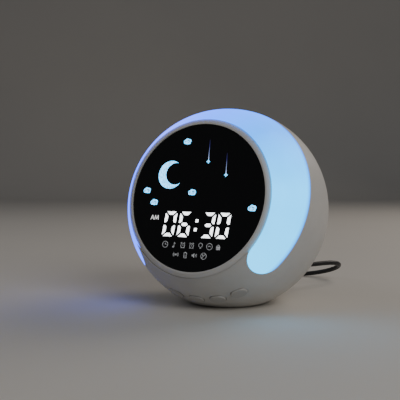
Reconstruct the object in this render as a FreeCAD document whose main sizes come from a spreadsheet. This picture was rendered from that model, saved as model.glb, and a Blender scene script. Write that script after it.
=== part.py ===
import FreeCAD, Part
import math
import os

from FreeCAD import Placement, Rotation, Vector

# A globe-shaped bedside alarm clock with a crescent night light, in millimetres.
# The origin is the middle of the foot, on the table. Z is up and the display faces -Y.
# The face frame has its origin at the centre of the globe, its Z out of the display and its Y up the face.
# The key frame also starts at the centre of the globe, and its Z points out through the row of buttons.

DRIVING_SIZES = [
    ("body_radius", 65.0, "outside radius of the globe"),
    ("shell_wall", 2.4, "wall of both shells"),
    ("centre_height", 60.5, "centre of the globe above the table"),
    ("face_tilt", 12.2, "degrees that the display leans back"),
    ("pad_stand", 0.8, "how far the foot pad stands out of the shell"),
    ("pad_recess", 0.8, "depth of the seat of the foot pad"),
    ("pad_radius", 20.0, "radius of the foot pad"),
    ("floor_wall", 3.0, "thickness of the flat floor"),
    ("seam_depth", 37.5, "seam of the two shells behind the centre"),
    ("lip_wall", 1.5, "wall of the locating lip of the rear shell"),
    ("lip_length", 3.5, "how far that lip reaches over the seam"),
    ("fit_gap", 0.1, "gap all round a piece that is seated or glued"),
    ("bezel_radius", 49.0, "outside radius of the bezel"),
    ("bezel_lip_radius", 45.4, "radius of the black disc that shows"),
    ("bezel_front", 43.4, "front edge of the bezel ahead of the centre"),
    ("bezel_fall", 2.1, "fall of the bezel from its crest to its rim"),
    ("lip_thickness", 0.8, "bezel lip over the lens"),
    ("bezel_skirt", 3.4, "bezel rim down to the end of its skirt"),
    ("skirt_wall", 1.2, "wall of the bezel skirt"),
    ("lens_thickness", 1.5, "dark front lens"),
    ("reflector_depth", 5.0, "depth of the light cells behind the lens"),
    ("reflector_radius", 42.3, "radius of the light cell block"),
    ("board_thickness", 1.6, "every circuit board"),
    ("rim_wall", 1.6, "ring that carries the bezel"),
    ("shelf_wall", 2.0, "inner shelf under the display board"),
    ("shelf_width", 5.0, "width of that shelf"),
    ("crescent_angle", 74.5, "angular radius of the outer edge of the night light"),
    ("crescent_lift", 8.0, "degrees that this edge is turned up from the face"),
    ("crescent_span", 126.0, "degrees from the top of the face to the end of the night light"),
    ("diffuser_wall", 2.0, "wall of the milky diffuser"),
    ("trough_wall", 1.0, "wall of the light trough beyond the window"),
    ("trough_step", 0.8, "step that the diffuser lies on"),
    ("trough_radius", 57.6, "radius of the floor of the light trough"),
    ("trough_floor", 1.6, "thickness of that floor"),
    ("strip_polar", 64.3, "degrees from the face axis to the light strip"),
    ("strip_width", 6.0, "width of the flexible light strip"),
    ("strip_thickness", 0.4, "thickness of that strip"),
    ("crescent_led_side", 3.5, "side of a night light chip"),
    ("crescent_led_height", 1.4, "height of that chip"),
    ("button_polar", 67.7, "degrees from the face axis to the buttons"),
    ("button_turn", 4.7, "degrees that the row is turned about the face axis"),
    ("button_spacing", 13.9, "degrees between two buttons about the face axis"),
    ("button_width", 10.0, "long side of a button"),
    ("button_depth", 7.4, "short side of a button"),
    ("button_rise", 1.0, "how far a button stands out of the shell"),
    ("button_gap", 0.3, "gap round a button in its hole"),
    ("button_travel", 0.8, "travel of a button"),
    ("flange_margin", 0.9, "flange that keeps a button in"),
    ("flange_thickness", 1.0, "thickness of that flange"),
    ("stem_radius", 1.9, "stem behind a button"),
    ("key_distance", 48.8, "top of the key board from the centre"),
    ("key_board_width", 56.0, "long side of the key board"),
    ("key_board_depth", 18.0, "short side of the key board"),
    ("key_post_offset", 6.8, "key board posts off the row"),
    ("key_post_radius", 2.1, "radius of a key board post"),
    ("switch_side", 6.0, "side of a push switch"),
    ("switch_height", 3.6, "height of a push switch"),
    ("plunger_radius", 1.6, "radius of a switch plunger"),
    ("plunger_height", 1.5, "plunger out of its switch at rest"),
    ("plunger_gap", 0.08, "running gap round a plunger"),
    ("post_circle", 45.0, "circle of the posts behind the display"),
    ("post_radius", 2.6, "radius of those posts"),
    ("main_board_level", 12.0, "front of the main board ahead of the centre"),
    ("main_board_side", 71.0, "side of the main board"),
    ("main_board_corner", 9.0, "cut corner of the main board"),
    ("boss_circle", 44.5, "circle of the rear screws"),
    ("boss_radius", 3.4, "radius of a screw boss"),
    ("boss_length", 14.0, "boss ahead of the seam"),
    ("boss_rib", 1.8, "rib that ties a boss to the wall"),
    ("screw_radius", 1.4, "radius of a self tapping screw"),
    ("screw_head_radius", 2.7, "radius of its head"),
    ("screw_head_height", 1.8, "height of its head"),
    ("small_head_radius", 2.3, "radius of the head of a board screw"),
    ("screw_length", 12.0, "length of a rear screw under its head"),
    ("short_screw_length", 5.0, "length of a board screw under its head"),
    ("head_depth", 5.2, "seat of a rear screw head behind the seam"),
    ("speaker_radius", 18.0, "radius of the loudspeaker"),
    ("speaker_lift", 15.0, "loudspeaker above the middle of the rear shell"),
    ("speaker_seat", 50.5, "seat of the loudspeaker behind the centre"),
    ("speaker_wall", 1.6, "wall of the tube that carries it"),
    ("gasket_thickness", 1.0, "foam ring under the loudspeaker"),
    ("basket_depth", 10.0, "depth of the loudspeaker frame"),
    ("magnet_radius", 10.0, "radius of the magnet"),
    ("magnet_height", 7.0, "height of the magnet"),
    ("grille_hole", 1.2, "radius of a sound hole"),
    ("grille_pitch", 5.0, "spacing of the rings of sound holes"),
    ("socket_offset", 21.0, "power socket right of the middle"),
    ("socket_height", 18.5, "power socket above the table"),
    ("recess_floor", 31.0, "floor of the plug recess behind the centre"),
    ("recess_width", 14.0, "width of the plug recess"),
    ("recess_height", 11.0, "height of the plug recess"),
    ("recess_wall", 1.6, "wall round the plug recess"),
    ("socket_width", 9.0, "width of the power socket"),
    ("socket_thickness", 3.4, "height of the power socket"),
    ("socket_length", 8.0, "length of the power socket"),
    ("socket_wall", 0.35, "sheet of the power socket"),
    ("cell_radius", 9.1, "radius of the battery cell"),
    ("cell_length", 65.0, "length of the battery cell"),
    ("cell_height", 19.5, "axis of the battery cell above the table"),
    ("cell_setback", -2.0, "axis of the battery cell behind the centre"),
    ("cradle_wall", 1.4, "wall of the battery cradle"),
    ("cord_radius", 1.7, "radius of the power cord"),
    ("plug_width", 10.4, "width of the moulded plug"),
    ("plug_thickness", 6.0, "height of the moulded plug"),
    ("plug_length", 22.0, "length of the moulded plug"),
    ("relief_length", 8.2, "length of its strain relief"),
    ("tongue_width", 8.2, "width of the metal end of the plug"),
    ("tongue_thickness", 2.4, "height of the metal end of the plug"),
    ("tongue_length", 6.4, "length of the metal end of the plug"),
    ("digit_height", 15.2, "height of a clock digit"),
    ("digit_width", 8.8, "width of a clock digit"),
    ("digit_stroke", 2.3, "stroke of a clock digit"),
]

# Sizes that follow from the driving ones, each with its formula.
DERIVED_SIZES = [
    ("inner_radius", "body_radius - shell_wall"),
    ("face_turn", "90 - face_tilt"),
    ("bezel_opening", "bezel_radius + fit_gap"),
    ("bore_radius", "bezel_opening - rim_wall"),
    ("lens_front", "bezel_front - lip_thickness"),
    ("lens_back", "lens_front - lens_thickness"),
    ("reflector_back", "lens_back - reflector_depth"),
    ("shelf_top", "reflector_back - board_thickness"),
    ("shelf_bottom", "shelf_top - shelf_wall"),
    ("shelf_inner", "bore_radius - shelf_width"),
    ("bezel_rim", "bezel_front + 0.3 - bezel_fall"),
    ("rim_top", "bezel_rim - 1.8"),
    ("skirt_end", "bezel_rim - bezel_skirt"),
    ("skirt_outer", "bore_radius - fit_gap"),
    ("skirt_inner", "skirt_outer - skirt_wall"),
    ("lens_radius", "skirt_inner - fit_gap"),
    ("board_radius", "bore_radius - fit_gap * 2"),
    ("floor_top", "pad_stand + floor_wall"),
    ("outer_lip", "sqrt(inner_radius ^ 2 - seam_depth ^ 2) - fit_gap * 3"),
    ("inner_lip", "outer_lip - lip_wall"),
    ("switch_top", "key_distance + switch_height"),
    ("stem_end", "switch_top + plunger_height"),
    ("key_board_back", "key_distance - board_thickness"),
    ("main_board_back", "main_board_level - board_thickness"),
    ("plug_start", "recess_floor + 0.6"),
    ("plug_end", "plug_start + plug_length"),
    ("relief_end", "plug_end + relief_length"),
]

doc = FreeCAD.newDocument("GlobeClock")


def make_sheet(name, rows):
    """Write one spreadsheet row for each size, with its alias in words."""
    sheet = doc.addObject("Spreadsheet::Sheet", name)
    for row, (alias, content, note) in enumerate(rows, start=1):
        sheet.set(f"A{row}", note)
        sheet.set(f"B{row}", content)
        sheet.setAlias(f"B{row}", alias)
    return sheet


def worked_out(formula):
    """Turn a formula in plain alias names into one that reads both sheets."""
    driving = {alias for alias, _, _ in DRIVING_SIZES}
    words = formula.split(" ")
    named = []
    for word in words:
        bare = word.replace("sqrt(", "").strip("()")
        if bare in driving:
            word = word.replace(bare, "Sizes." + bare)
        named.append(word)
    return "=" + " ".join(named)


sizes = make_sheet("Sizes", [(alias, str(value), note) for alias, value, note in DRIVING_SIZES])
doc.recompute()
derived = make_sheet("Derived", [(alias, worked_out(formula), formula) for alias, formula in DERIVED_SIZES])
doc.recompute()
DERIVED_NAMES = {alias for alias, _ in DERIVED_SIZES}


def size(alias):
    """Read one size, in millimetres or degrees."""
    if alias in DERIVED_NAMES:
        return float(derived.get(alias))
    return float(sizes.get(alias))


def cell(alias):
    """Name the cell of one size for use in an expression."""
    if alias in DERIVED_NAMES:
        return "Derived." + alias
    return "Sizes." + alias


def bind(thing, **formulas):
    """Bind properties to formulas whose words in braces are aliases."""
    for prop, formula in formulas.items():
        parts = formula.replace("}", "{").split("{")
        text = ""
        for index, part in enumerate(parts):
            text += cell(part) if index % 2 else part
        thing.setExpression(prop, text)
    return thing


def at(thing, **axes):
    """Bind the base point of a placement, axis by axis."""
    for axis, formula in axes.items():
        bind(thing, **{f"Placement.Base.{axis}": formula})
    return thing


# The frames that the pieces are built in.
CENTRE = Vector(0, 0, size("centre_height"))
FACE = Placement(CENTRE, Rotation(Vector(1, 0, 0), size("face_turn")))
KEY_TURN = Rotation(Vector(0, 0, 1), size("button_turn")) * Rotation(Vector(1, 0, 0), size("button_polar"))
KEY = Placement(Vector(0, 0, 0), KEY_TURN)
KEY_WORLD = FACE * KEY
GLOBE = Placement(CENTRE, Rotation())
PIECES = []


def piece(thing, label, placement=None):
    """Name a finished piece and put it in its place."""
    thing.Label = label
    if placement is not None:
        thing.Placement = placement
    PIECES.append(thing)
    return thing


def ball(name, radius):
    return bind(doc.addObject("Part::Sphere", name), Radius=radius)


def rod(name, radius, length, **place):
    thing = bind(doc.addObject("Part::Cylinder", name), Radius=radius, Height=length)
    return at(thing, **place)


def block(name, length, width, height, **place):
    thing = bind(doc.addObject("Part::Box", name), Length=length, Width=width, Height=height)
    return at(thing, **place)


def fuse(name, things):
    thing = doc.addObject("Part::MultiFuse", name)
    thing.Shapes = things
    return thing


def common(name, things):
    thing = doc.addObject("Part::MultiCommon", name)
    thing.Shapes = things
    return thing


def cut(name, base, tool):
    thing = doc.addObject("Part::Cut", name)
    thing.Base = base
    thing.Tool = tool
    return thing


def group(name, things):
    thing = doc.addObject("Part::Compound", name)
    thing.Links = things
    return thing


def solid(name, shape, placement=None):
    """Keep a shape made with Part's own functions as a document object."""
    thing = doc.addObject("Part::Feature", name)
    thing.Shape = shape
    if placement is not None:
        thing.Placement = placement
    return thing


def tube(name, outer, inner, start, length):
    wall = rod(name + "_wall", outer, length, z=start)
    bore = rod(name + "_bore", inner, length, z=start)
    return cut(name, wall, bore)


def origin_plane(body, role):
    return next(item for item in body.Origin.OriginFeatures if item.Role == role)


def sketch_on(body, role, name):
    sketch = body.newObject("Sketcher::SketchObject", name)
    sketch.AttachmentSupport = [(origin_plane(body, role), "")]
    sketch.MapMode = "FlatFace"
    return sketch


def outline(sketch, corners):
    """Draw a closed outline whose corners are held by named sizes."""
    import Sketcher
    points = [Vector(sign_value(x), sign_value(y), 0) for x, y in corners]
    count = len(points)
    lines = [Part.LineSegment(points[i], points[(i + 1) % count]) for i in range(count)]
    sketch.addGeometry(lines, False)
    for i in range(count):
        sketch.addConstraint(Sketcher.Constraint("Coincident", i, 2, (i + 1) % count, 1))
    for i, (x, y) in enumerate(corners):
        hold_corner(sketch, "DistanceX", i, x)
        hold_corner(sketch, "DistanceY", i, y)


def sign_value(text):
    """Read an alias with an optional minus sign, or a plain zero."""
    if text == "0":
        return 0.0
    if text.startswith("-"):
        return -size(text[1:])
    return size(text)


def hold_corner(sketch, kind, line, text):
    import Sketcher
    index = sketch.addConstraint(Sketcher.Constraint(kind, -1, 1, line, 1, sign_value(text)))
    if text == "0":
        return
    sign = "-" if text.startswith("-") else ""
    sketch.setExpression(f"Constraints[{index}]", sign + cell(text.lstrip("-")))


def turned(label, corners, placement=FACE):
    """A turned piece: an outline of radius and height spun about the face axis."""
    body = doc.addObject("PartDesign::Body", label)
    sketch = sketch_on(body, "XZ_Plane", label + "_section")
    outline(sketch, corners)
    spin = body.newObject("PartDesign::Revolution", label + "_spin")
    spin.Profile = sketch
    spin.ReferenceAxis = (sketch, ["V_Axis"])
    spin.Angle = 360
    sketch.Visibility = False
    doc.recompute()
    return piece(body, label, placement)


def disc(label, radius, thickness, placement, holes=None):
    """A flat round piece, padded from a circle, with any holes drilled through it."""
    import Sketcher
    body = doc.addObject("PartDesign::Body", label)
    sketch = sketch_on(body, "XY_Plane", label + "_circle")
    sketch.addGeometry(Part.Circle(Vector(0, 0, 0), Vector(0, 0, 1), size(radius)), False)
    sketch.addConstraint(Sketcher.Constraint("Coincident", 0, 3, -1, 1))
    index = sketch.addConstraint(Sketcher.Constraint("Radius", 0, size(radius)))
    sketch.setExpression(f"Constraints[{index}]", cell(radius))
    pad = body.newObject("PartDesign::Pad", label + "_pad")
    pad.Profile = sketch
    bind(pad, Length="{" + thickness + "}")
    doc.recompute()
    if holes is None:
        return piece(body, label, placement)
    body.Label = label + "_blank"
    drilled = cut(label + "_drilled", body, solid(label + "_holes", Part.makeCompound(holes)))
    return piece(drilled, label, placement)


def lifted(frame, x=0.0, y=0.0, z=0.0):
    """A frame moved along its own axes."""
    return frame * Placement(Vector(x, y, z), Rotation())


# The crescent of the night light, as the part of the globe inside these cones.

def crescent_end():
    """Find the rounded end that touches both edges of the crescent.

    The end is a small circle on the globe. It touches the inner edge, a circle about the face axis, and
    the outer edge, a circle about an axis turned up by the lift. Its angular radius follows from the cosine
    rule at its own distance about the face axis.
    """
    outer = math.radians(size("crescent_angle"))
    inner = math.asin(size("bezel_opening") / size("body_radius"))
    lift = math.radians(size("crescent_lift"))
    turn = math.sin(lift) * math.cos(math.radians(size("crescent_span")))
    rise = math.cos(lift) * math.cos(inner) + turn * math.sin(inner) - math.cos(outer)
    run = math.sin(outer) + math.cos(lift) * math.sin(inner) - turn * math.cos(inner)
    radius = math.atan2(rise, run)
    return inner + radius, radius


END_POLAR, END_RADIUS = crescent_end()
FAR = 1400.0


def pointed(half_angle, reach):
    """A cone with its point at the centre of the globe, opening along Z."""
    return Part.makeCone(0, reach * math.tan(half_angle), reach)


def crescent_solid(grow):
    """The solid angle of the crescent, with its edges moved out by a distance at the globe's surface."""
    radius = size("body_radius")
    reach = radius * 1.15
    spread = grow / radius
    lift = size("crescent_lift")
    span = math.radians(size("crescent_span"))
    outer = pointed(math.radians(size("crescent_angle")) + spread, reach)
    outer.rotate(Vector(0, 0, 0), Vector(1, 0, 0), -lift)
    tangent = math.tan(END_POLAR)
    end_right = Vector(tangent * math.sin(span), tangent * math.cos(span), 1)
    pole = Vector(0, math.tan(math.radians(lift)), 1)
    away = (end_right - pole).normalize()
    side_right = end_right + away * (FAR / reach)
    rays = [Vector(0, 0, 1), end_right, side_right, Vector(FAR / reach, FAR / reach, 1)]
    rays += [Vector(-ray.x, ray.y, 1) for ray in reversed(rays[1:])]
    corners = [ray * reach for ray in rays]
    faces = [Part.Face(Part.makePolygon(corners + [corners[0]]))]
    for i, corner in enumerate(corners):
        after = corners[(i + 1) % len(corners)]
        faces.append(Part.Face(Part.makePolygon([Vector(0, 0, 0), corner, after, Vector(0, 0, 0)])))
    wedge = Part.makeSolid(Part.makeShell(faces))
    band = outer.common(wedge)
    ends = []
    for side in (-1, 1):
        end = pointed(END_RADIUS + spread, reach)
        end.rotate(Vector(0, 0, 0), Vector(1, 0, 0), -math.degrees(END_POLAR))
        end.rotate(Vector(0, 0, 0), Vector(0, 0, 1), side * size("crescent_span"))
        ends.append(end)
    whole = band.fuse(ends)
    return whole.cut(Part.makeCylinder(size("bezel_opening") - grow, reach))


def crescent(name, grow, outer_radius, inner_radius):
    """A layer of the crescent between two radii."""
    layer = cut(name + "_layer", ball(name + "_outer", outer_radius), ball(name + "_inner", inner_radius))
    return common(name, [layer, solid(name + "_edges", crescent_solid(grow))])


# Front shell.

def polar_points(radius, angles):
    return [(radius * math.cos(math.radians(a)), radius * math.sin(math.radians(a))) for a in angles]


POST_ANGLES = (45, 135, 225, 315)
BOSS_ANGLES = (30, 150, 210, 330)
POSTS = polar_points(size("post_circle"), POST_ANGLES)
BOSSES = polar_points(size("boss_circle"), BOSS_ANGLES)
KEY_POSTS = [(sx * size("button_spacing"), sy * size("key_post_offset")) for sx in (-1, 1) for sy in (-1, 1)]


def button_place(index):
    """Where a button's middle crosses the globe, in the key frame."""
    turn = math.radians((index - 1.5) * size("button_spacing"))
    polar = math.radians(size("button_polar"))
    x = size("body_radius") * math.sin(polar) * math.sin(turn)
    y = size("body_radius") * math.sin(polar) * math.cos(polar) * (1 - math.cos(turn))
    return x, y


def oval(width, depth, start, end):
    """An upright oval prism with straight long sides."""
    straight = (width - depth) / 2
    radius = depth / 2
    left = Vector(-straight, radius, start)
    right = Vector(straight, radius, start)
    low_right = Vector(straight, -radius, start)
    low_left = Vector(-straight, -radius, start)
    edges = [
        Part.LineSegment(left, right).toShape(),
        Part.Arc(right, Vector(straight + radius, 0, start), low_right).toShape(),
        Part.LineSegment(low_right, low_left).toShape(),
        Part.Arc(low_left, Vector(-straight - radius, 0, start), left).toShape(),
    ]
    return Part.Face(Part.Wire(edges)).extrude(Vector(0, 0, end - start))


def depth_on(radius, x, y):
    return math.sqrt(radius ** 2 - x ** 2 - y ** 2)


def build_front_shell():
    hollow = cut("front_hollow", ball("front_globe", "{body_radius}"), ball("front_inside", "{inner_radius}"))
    trough = crescent("front_trough", size("trough_wall"), "{body_radius} - 0.5", "{trough_radius} - {trough_floor}")
    rim = common("front_rim", [
        tube("rim_ring", "{bezel_opening} + 2", "{bore_radius}", "{shelf_bottom}", "{rim_top} - {shelf_bottom}"),
        ball("rim_limit", "{body_radius} - 0.5"),
    ])
    shelf = tube("front_shelf", "{bore_radius} + 0.5", "{shelf_inner}", "{shelf_bottom}", "{shelf_wall}")
    posts = []
    for number, (x, y) in enumerate(POSTS):
        post = rod(f"board_post_{number}", "{post_radius}", "{shelf_bottom} - {main_board_level} + 0.5",
                   z="{main_board_level}")
        post.Placement.Base.x = x
        post.Placement.Base.y = y
        posts.append(post)
    shell_limit = ball("post_limit", "{body_radius} - 1")
    key_posts = []
    for x, y in KEY_POSTS:
        post = Part.makeCylinder(size("key_post_radius"), size("body_radius") - size("key_distance"),
                                 Vector(x, y, size("key_distance")))
        key_posts.append(post)
    key_tool = solid("key_post_rods", Part.makeCompound(key_posts), KEY)
    key_legs = common("key_posts", [key_tool, shell_limit])
    bosses = []
    for number, (x, y) in enumerate(BOSSES):
        boss = rod(f"front_boss_{number}", "{boss_radius}", "{boss_length}", z="-{seam_depth}")
        boss.Placement.Base.x = x
        boss.Placement.Base.y = y
        bosses.append(boss)
        rib = block(f"boss_rib_{number}", "{body_radius} - {boss_circle}", "{boss_rib}", "{boss_length} - 5",
                    z="-{seam_depth} + 5")
        turn = Rotation(Vector(0, 0, 1), BOSS_ANGLES[number])
        rib.Placement.Rotation = turn
        side = turn.multVec(Vector(0, -size("boss_rib") / 2, 0))
        rib.Placement.Base.x = x + side.x
        rib.Placement.Base.y = y + side.y
        bosses.append(rib)
    boss_limit = ball("boss_limit", "{body_radius} - 1")
    boss_set = common("front_bosses", [fuse("front_boss_rods", bosses), boss_limit])
    raw = fuse("front_raw", [hollow, trough, rim, shelf, fuse("board_posts", posts), key_legs, boss_set])
    window = crescent("front_window", 0.0, "{body_radius} * 1.1", "{body_radius} - {diffuser_wall}")
    channel = crescent("front_channel", -size("trough_step"), "{body_radius}", "{trough_radius}")
    bore = rod("front_bore", "{bore_radius}", "{body_radius}", z="{shelf_top}")
    mouth = rod("front_mouth", "{bezel_opening}", "{body_radius}", z="{rim_top}")
    eye = rod("front_eye", "{shelf_inner}", "{body_radius}", z="{shelf_bottom} - 8")
    behind = rod("front_behind", "{body_radius} * 1.2", "{body_radius}", z="-{seam_depth} - {body_radius}")
    keys = []
    for index in range(4):
        x, y = button_place(index)
        gap = 2 * size("button_gap")
        hole = oval(size("button_width") + gap, size("button_depth") + gap, size("key_distance") + 5,
                    size("body_radius") * 1.1)
        hole.translate(Vector(x, y, 0))
        keys.append(hole)
    key_holes = solid("button_holes", Part.makeCompound(keys), KEY)
    pilots = []
    for x, y in POSTS:
        pilots.append(Part.makeCylinder(size("screw_radius"), size("short_screw_length") + 1,
                                        Vector(x, y, size("main_board_level"))))
        pilots.append(Part.makeCylinder(size("screw_radius"), size("short_screw_length") + 1,
                                        Vector(x, y, size("shelf_top") - size("short_screw_length") - 1)))
    for x, y in BOSSES:
        pilots.append(Part.makeCylinder(size("screw_radius"), size("screw_length"),
                                        Vector(x, y, -size("seam_depth"))))
    pilot_set = solid("front_pilots", Part.makeCompound(pilots))
    tools = group("front_tools", [window, channel, bore, mouth, eye, behind, key_holes, pilot_set])
    shaped = cut("front_shaped", raw, tools)
    shaped.Placement = FACE
    floor = common("front_floor", [
        block("floor_slab", "{body_radius} * 2", "{body_radius} * 2", "{floor_wall}",
              x="-{body_radius}", y="-{body_radius}", z="{pad_stand}"),
        at(ball("floor_limit", "{body_radius} - 0.3"), z="{centre_height}"),
    ])
    floored = fuse("front_floored", [shaped, floor])
    under = block("front_under", "{body_radius} * 2", "{body_radius} * 2", "{body_radius}",
                  x="-{body_radius}", y="-{body_radius}", z="{pad_stand} - {body_radius}")
    pad_seat = rod("pad_seat", "{pad_radius} + {fit_gap}", "{pad_stand} + {pad_recess}", z="0")
    rear_side = rod("front_rear_side", "{body_radius} * 1.2", "{body_radius}")
    rear_side.Placement = FACE * Placement(Vector(0, 0, -size("seam_depth") - size("body_radius")), Rotation())
    finished = cut("front_finished", floored, group("front_base_tools", [under, pad_seat, rear_side]))
    return piece(finished, "front_shell")


def build_rear_shell():
    hollow = cut("rear_hollow", ball("rear_globe", "{body_radius}"), ball("rear_inside", "{inner_radius}"))
    half = rod("rear_half", "{body_radius} * 1.2", "{body_radius}", z="-{seam_depth} - {body_radius}")
    cap = common("rear_cap", [hollow, half])
    lip_wall = common("rear_lip", [
        tube("lip_tube", "{outer_lip}", "{inner_lip}", "-{seam_depth} - 3", "{lip_length} + 3"),
        ball("lip_limit", "{body_radius} - 1"),
    ])
    notches = []
    columns = []
    for x, y in BOSSES:
        notches.append(Part.makeCylinder(size("boss_radius") + 0.4, size("lip_length") + 0.01,
                                         Vector(x, y, -size("seam_depth"))))
        columns.append(Part.makeCylinder(size("boss_radius"), size("body_radius") - size("seam_depth"),
                                         Vector(x, y, -size("body_radius"))))
    lip = cut("rear_lip_notched", lip_wall, solid("lip_notches", Part.makeCompound(notches)))
    column_set = common("rear_columns", [
        solid("column_rods", Part.makeCompound(columns)),
        ball("column_limit", "{body_radius}"),
    ])
    speaker_tube = common("speaker_tube", [
        at(tube("speaker_ring", "{speaker_radius} + {speaker_wall}", "{speaker_radius} - 2.5",
                "-{body_radius}", "{body_radius} - {speaker_seat}"), y="{speaker_lift}"),
        ball("speaker_limit", "{body_radius} - 1"),
    ])
    raw = fuse("rear_raw", [cap, lip, column_set, speaker_tube])
    tools = []
    for x, y in BOSSES:
        seat = -size("seam_depth") - size("head_depth")
        tools.append(Part.makeCylinder(size("screw_head_radius") + 0.3, size("body_radius"),
                                       Vector(x, y, seat), Vector(0, 0, -1)))
        tools.append(Part.makeCylinder(size("screw_radius") + 0.15, size("body_radius"), Vector(x, y, seat - 1)))
    lift = size("speaker_lift")
    for ring, count in ((0, 1), (1, 6), (2, 12)):
        for number in range(count):
            turn = 2 * math.pi * number / count
            reach = ring * size("grille_pitch")
            spot = Vector(reach * math.cos(turn), lift + reach * math.sin(turn), -size("body_radius"))
            tools.append(Part.makeCylinder(size("grille_hole"), size("body_radius") - size("speaker_seat"), spot))
    shaped = cut("rear_shaped", raw, solid("rear_tools", Part.makeCompound(tools)))
    shaped.Placement = FACE
    socket_z = "{socket_height}"
    left = "{socket_offset} - {recess_width} / 2"
    low = socket_z + " - {recess_height} / 2"
    housing = common("recess_housing", [
        block("recess_block", "{recess_width} + 2 * {recess_wall}", "{body_radius}",
              "{recess_height} + 2 * {recess_wall}", x=left + " - {recess_wall}",
              y="{recess_floor} - {recess_wall}", z=low + " - {recess_wall}"),
        at(ball("recess_limit", "{body_radius} - 0.2"), z="{centre_height}"),
    ])
    shelf = common("socket_shelf", [
        block("shelf_block", "{recess_width} + 2", "{socket_length} + 6",
              "{recess_height} / 2 + {recess_wall} - {socket_thickness} / 2 - {board_thickness}",
              x=left + " - 1", y="{recess_floor} - {socket_length} - 6", z=low + " - {recess_wall}"),
        at(ball("shelf_limit", "{inner_radius} - 0.4"), z="{centre_height}"),
    ])
    whole = fuse("rear_whole", [shaped, housing, shelf])
    recess = block("plug_recess", "{recess_width}", "{body_radius}", "{recess_height}",
                   x=left, y="{recess_floor}", z=low)
    mouth = block("socket_mouth", "{socket_width} + 0.3", "{recess_wall} * 3", "{socket_thickness} + 0.3",
                  x="{socket_offset} - {socket_width} / 2 - 0.15", y="{recess_floor} - {recess_wall} * 1.5",
                  z=socket_z + " - {socket_thickness} / 2 - 0.15")
    under = block("rear_under", "{body_radius} * 2", "{body_radius} * 2", "{body_radius}",
                  x="-{body_radius}", y="-{body_radius}", z="{pad_stand} - {body_radius}")
    finished = cut("rear_finished", whole, group("rear_world_tools", [recess, mouth, under]))
    return piece(finished, "rear_shell")


build_front_shell()
build_rear_shell()

# Display stack, from the bezel back to its board.

bezel = turned("bezel_ring", [
    ("bezel_lip_radius", "lens_front"),
    ("bezel_lip_radius", "bezel_front"),
    ("skirt_inner", "bezel_front"),
    ("bezel_radius", "bezel_rim"),
    ("bezel_radius", "rim_top"),
    ("skirt_outer", "rim_top"),
    ("skirt_outer", "skirt_end"),
    ("skirt_inner", "skirt_end"),
    ("skirt_inner", "lens_front"),
])
disc("display_lens", "lens_radius", "lens_thickness", lifted(FACE, z=size("lens_back")))
screw_holes = [Part.makeCylinder(size("screw_radius") + 0.1, size("body_radius"), Vector(x, y, -1)) for x, y in POSTS]
disc("display_board", "board_radius", "board_thickness", lifted(FACE, z=size("shelf_top")), screw_holes)


def round_bezel():
    """Round the front edges of the bezel, so that it slopes to the globe."""
    body = bezel
    tip = body.Tip
    spots = {"crest": (size("skirt_inner"), size("bezel_front")), "rim": (size("bezel_radius"), size("bezel_rim"))}
    radii = {"crest": 1.2, "rim": 1.0}
    for label, (radius, level) in spots.items():
        names = []
        for number, edge in enumerate(tip.Shape.Edges, start=1):
            box = edge.BoundBox
            flat = abs(box.ZMax - box.ZMin) < 1e-3 and abs(box.ZMax - level) < 1e-3
            if flat and abs(box.XMax - radius) < 1e-3:
                names.append(f"Edge{number}")
        fillet = body.newObject("PartDesign::Fillet", f"bezel_{label}_round")
        fillet.Base = (tip, names)
        fillet.Radius = radii[label]
        doc.recompute()
        tip = fillet
    body.Tip = tip


round_bezel()

# Seven strokes of a digit: which are lit is up to the board, so every cell has its window.
DIGIT_LEFTS = (-20.9, -10.7, 4.6, 14.8)
DIGIT_FOOT = -24.9
DIGIT_SLANT = math.tan(math.radians(5.5))
COLON_X = 2.1
ICON_ROWS = ((-29.5, 7, 6.1), (-35.3, 4, 6.3))


def stroke_points(start, end, stroke, gap):
    """A stroke with pointed ends between two corners of a digit."""
    along = Vector(end[0] - start[0], end[1] - start[1], 0)
    length = along.Length
    along.normalize()
    across = Vector(-along.y, along.x, 0)
    half = stroke / 2
    base = Vector(start[0], start[1], 0)
    first = gap
    last = length - gap
    spots = [(first, 0), (first + half, half), (last - half, half), (last, 0), (last - half, -half),
             (first + half, -half)]
    return [base + along * s + across * t for s, t in spots]


def leaning(point):
    return Vector(point.x + (point.y - DIGIT_FOOT) * DIGIT_SLANT, point.y, point.z)


def prism(points, start, end):
    ring = [Vector(p.x, p.y, start) for p in points]
    return Part.Face(Part.makePolygon(ring + [ring[0]])).extrude(Vector(0, 0, end - start))


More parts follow.
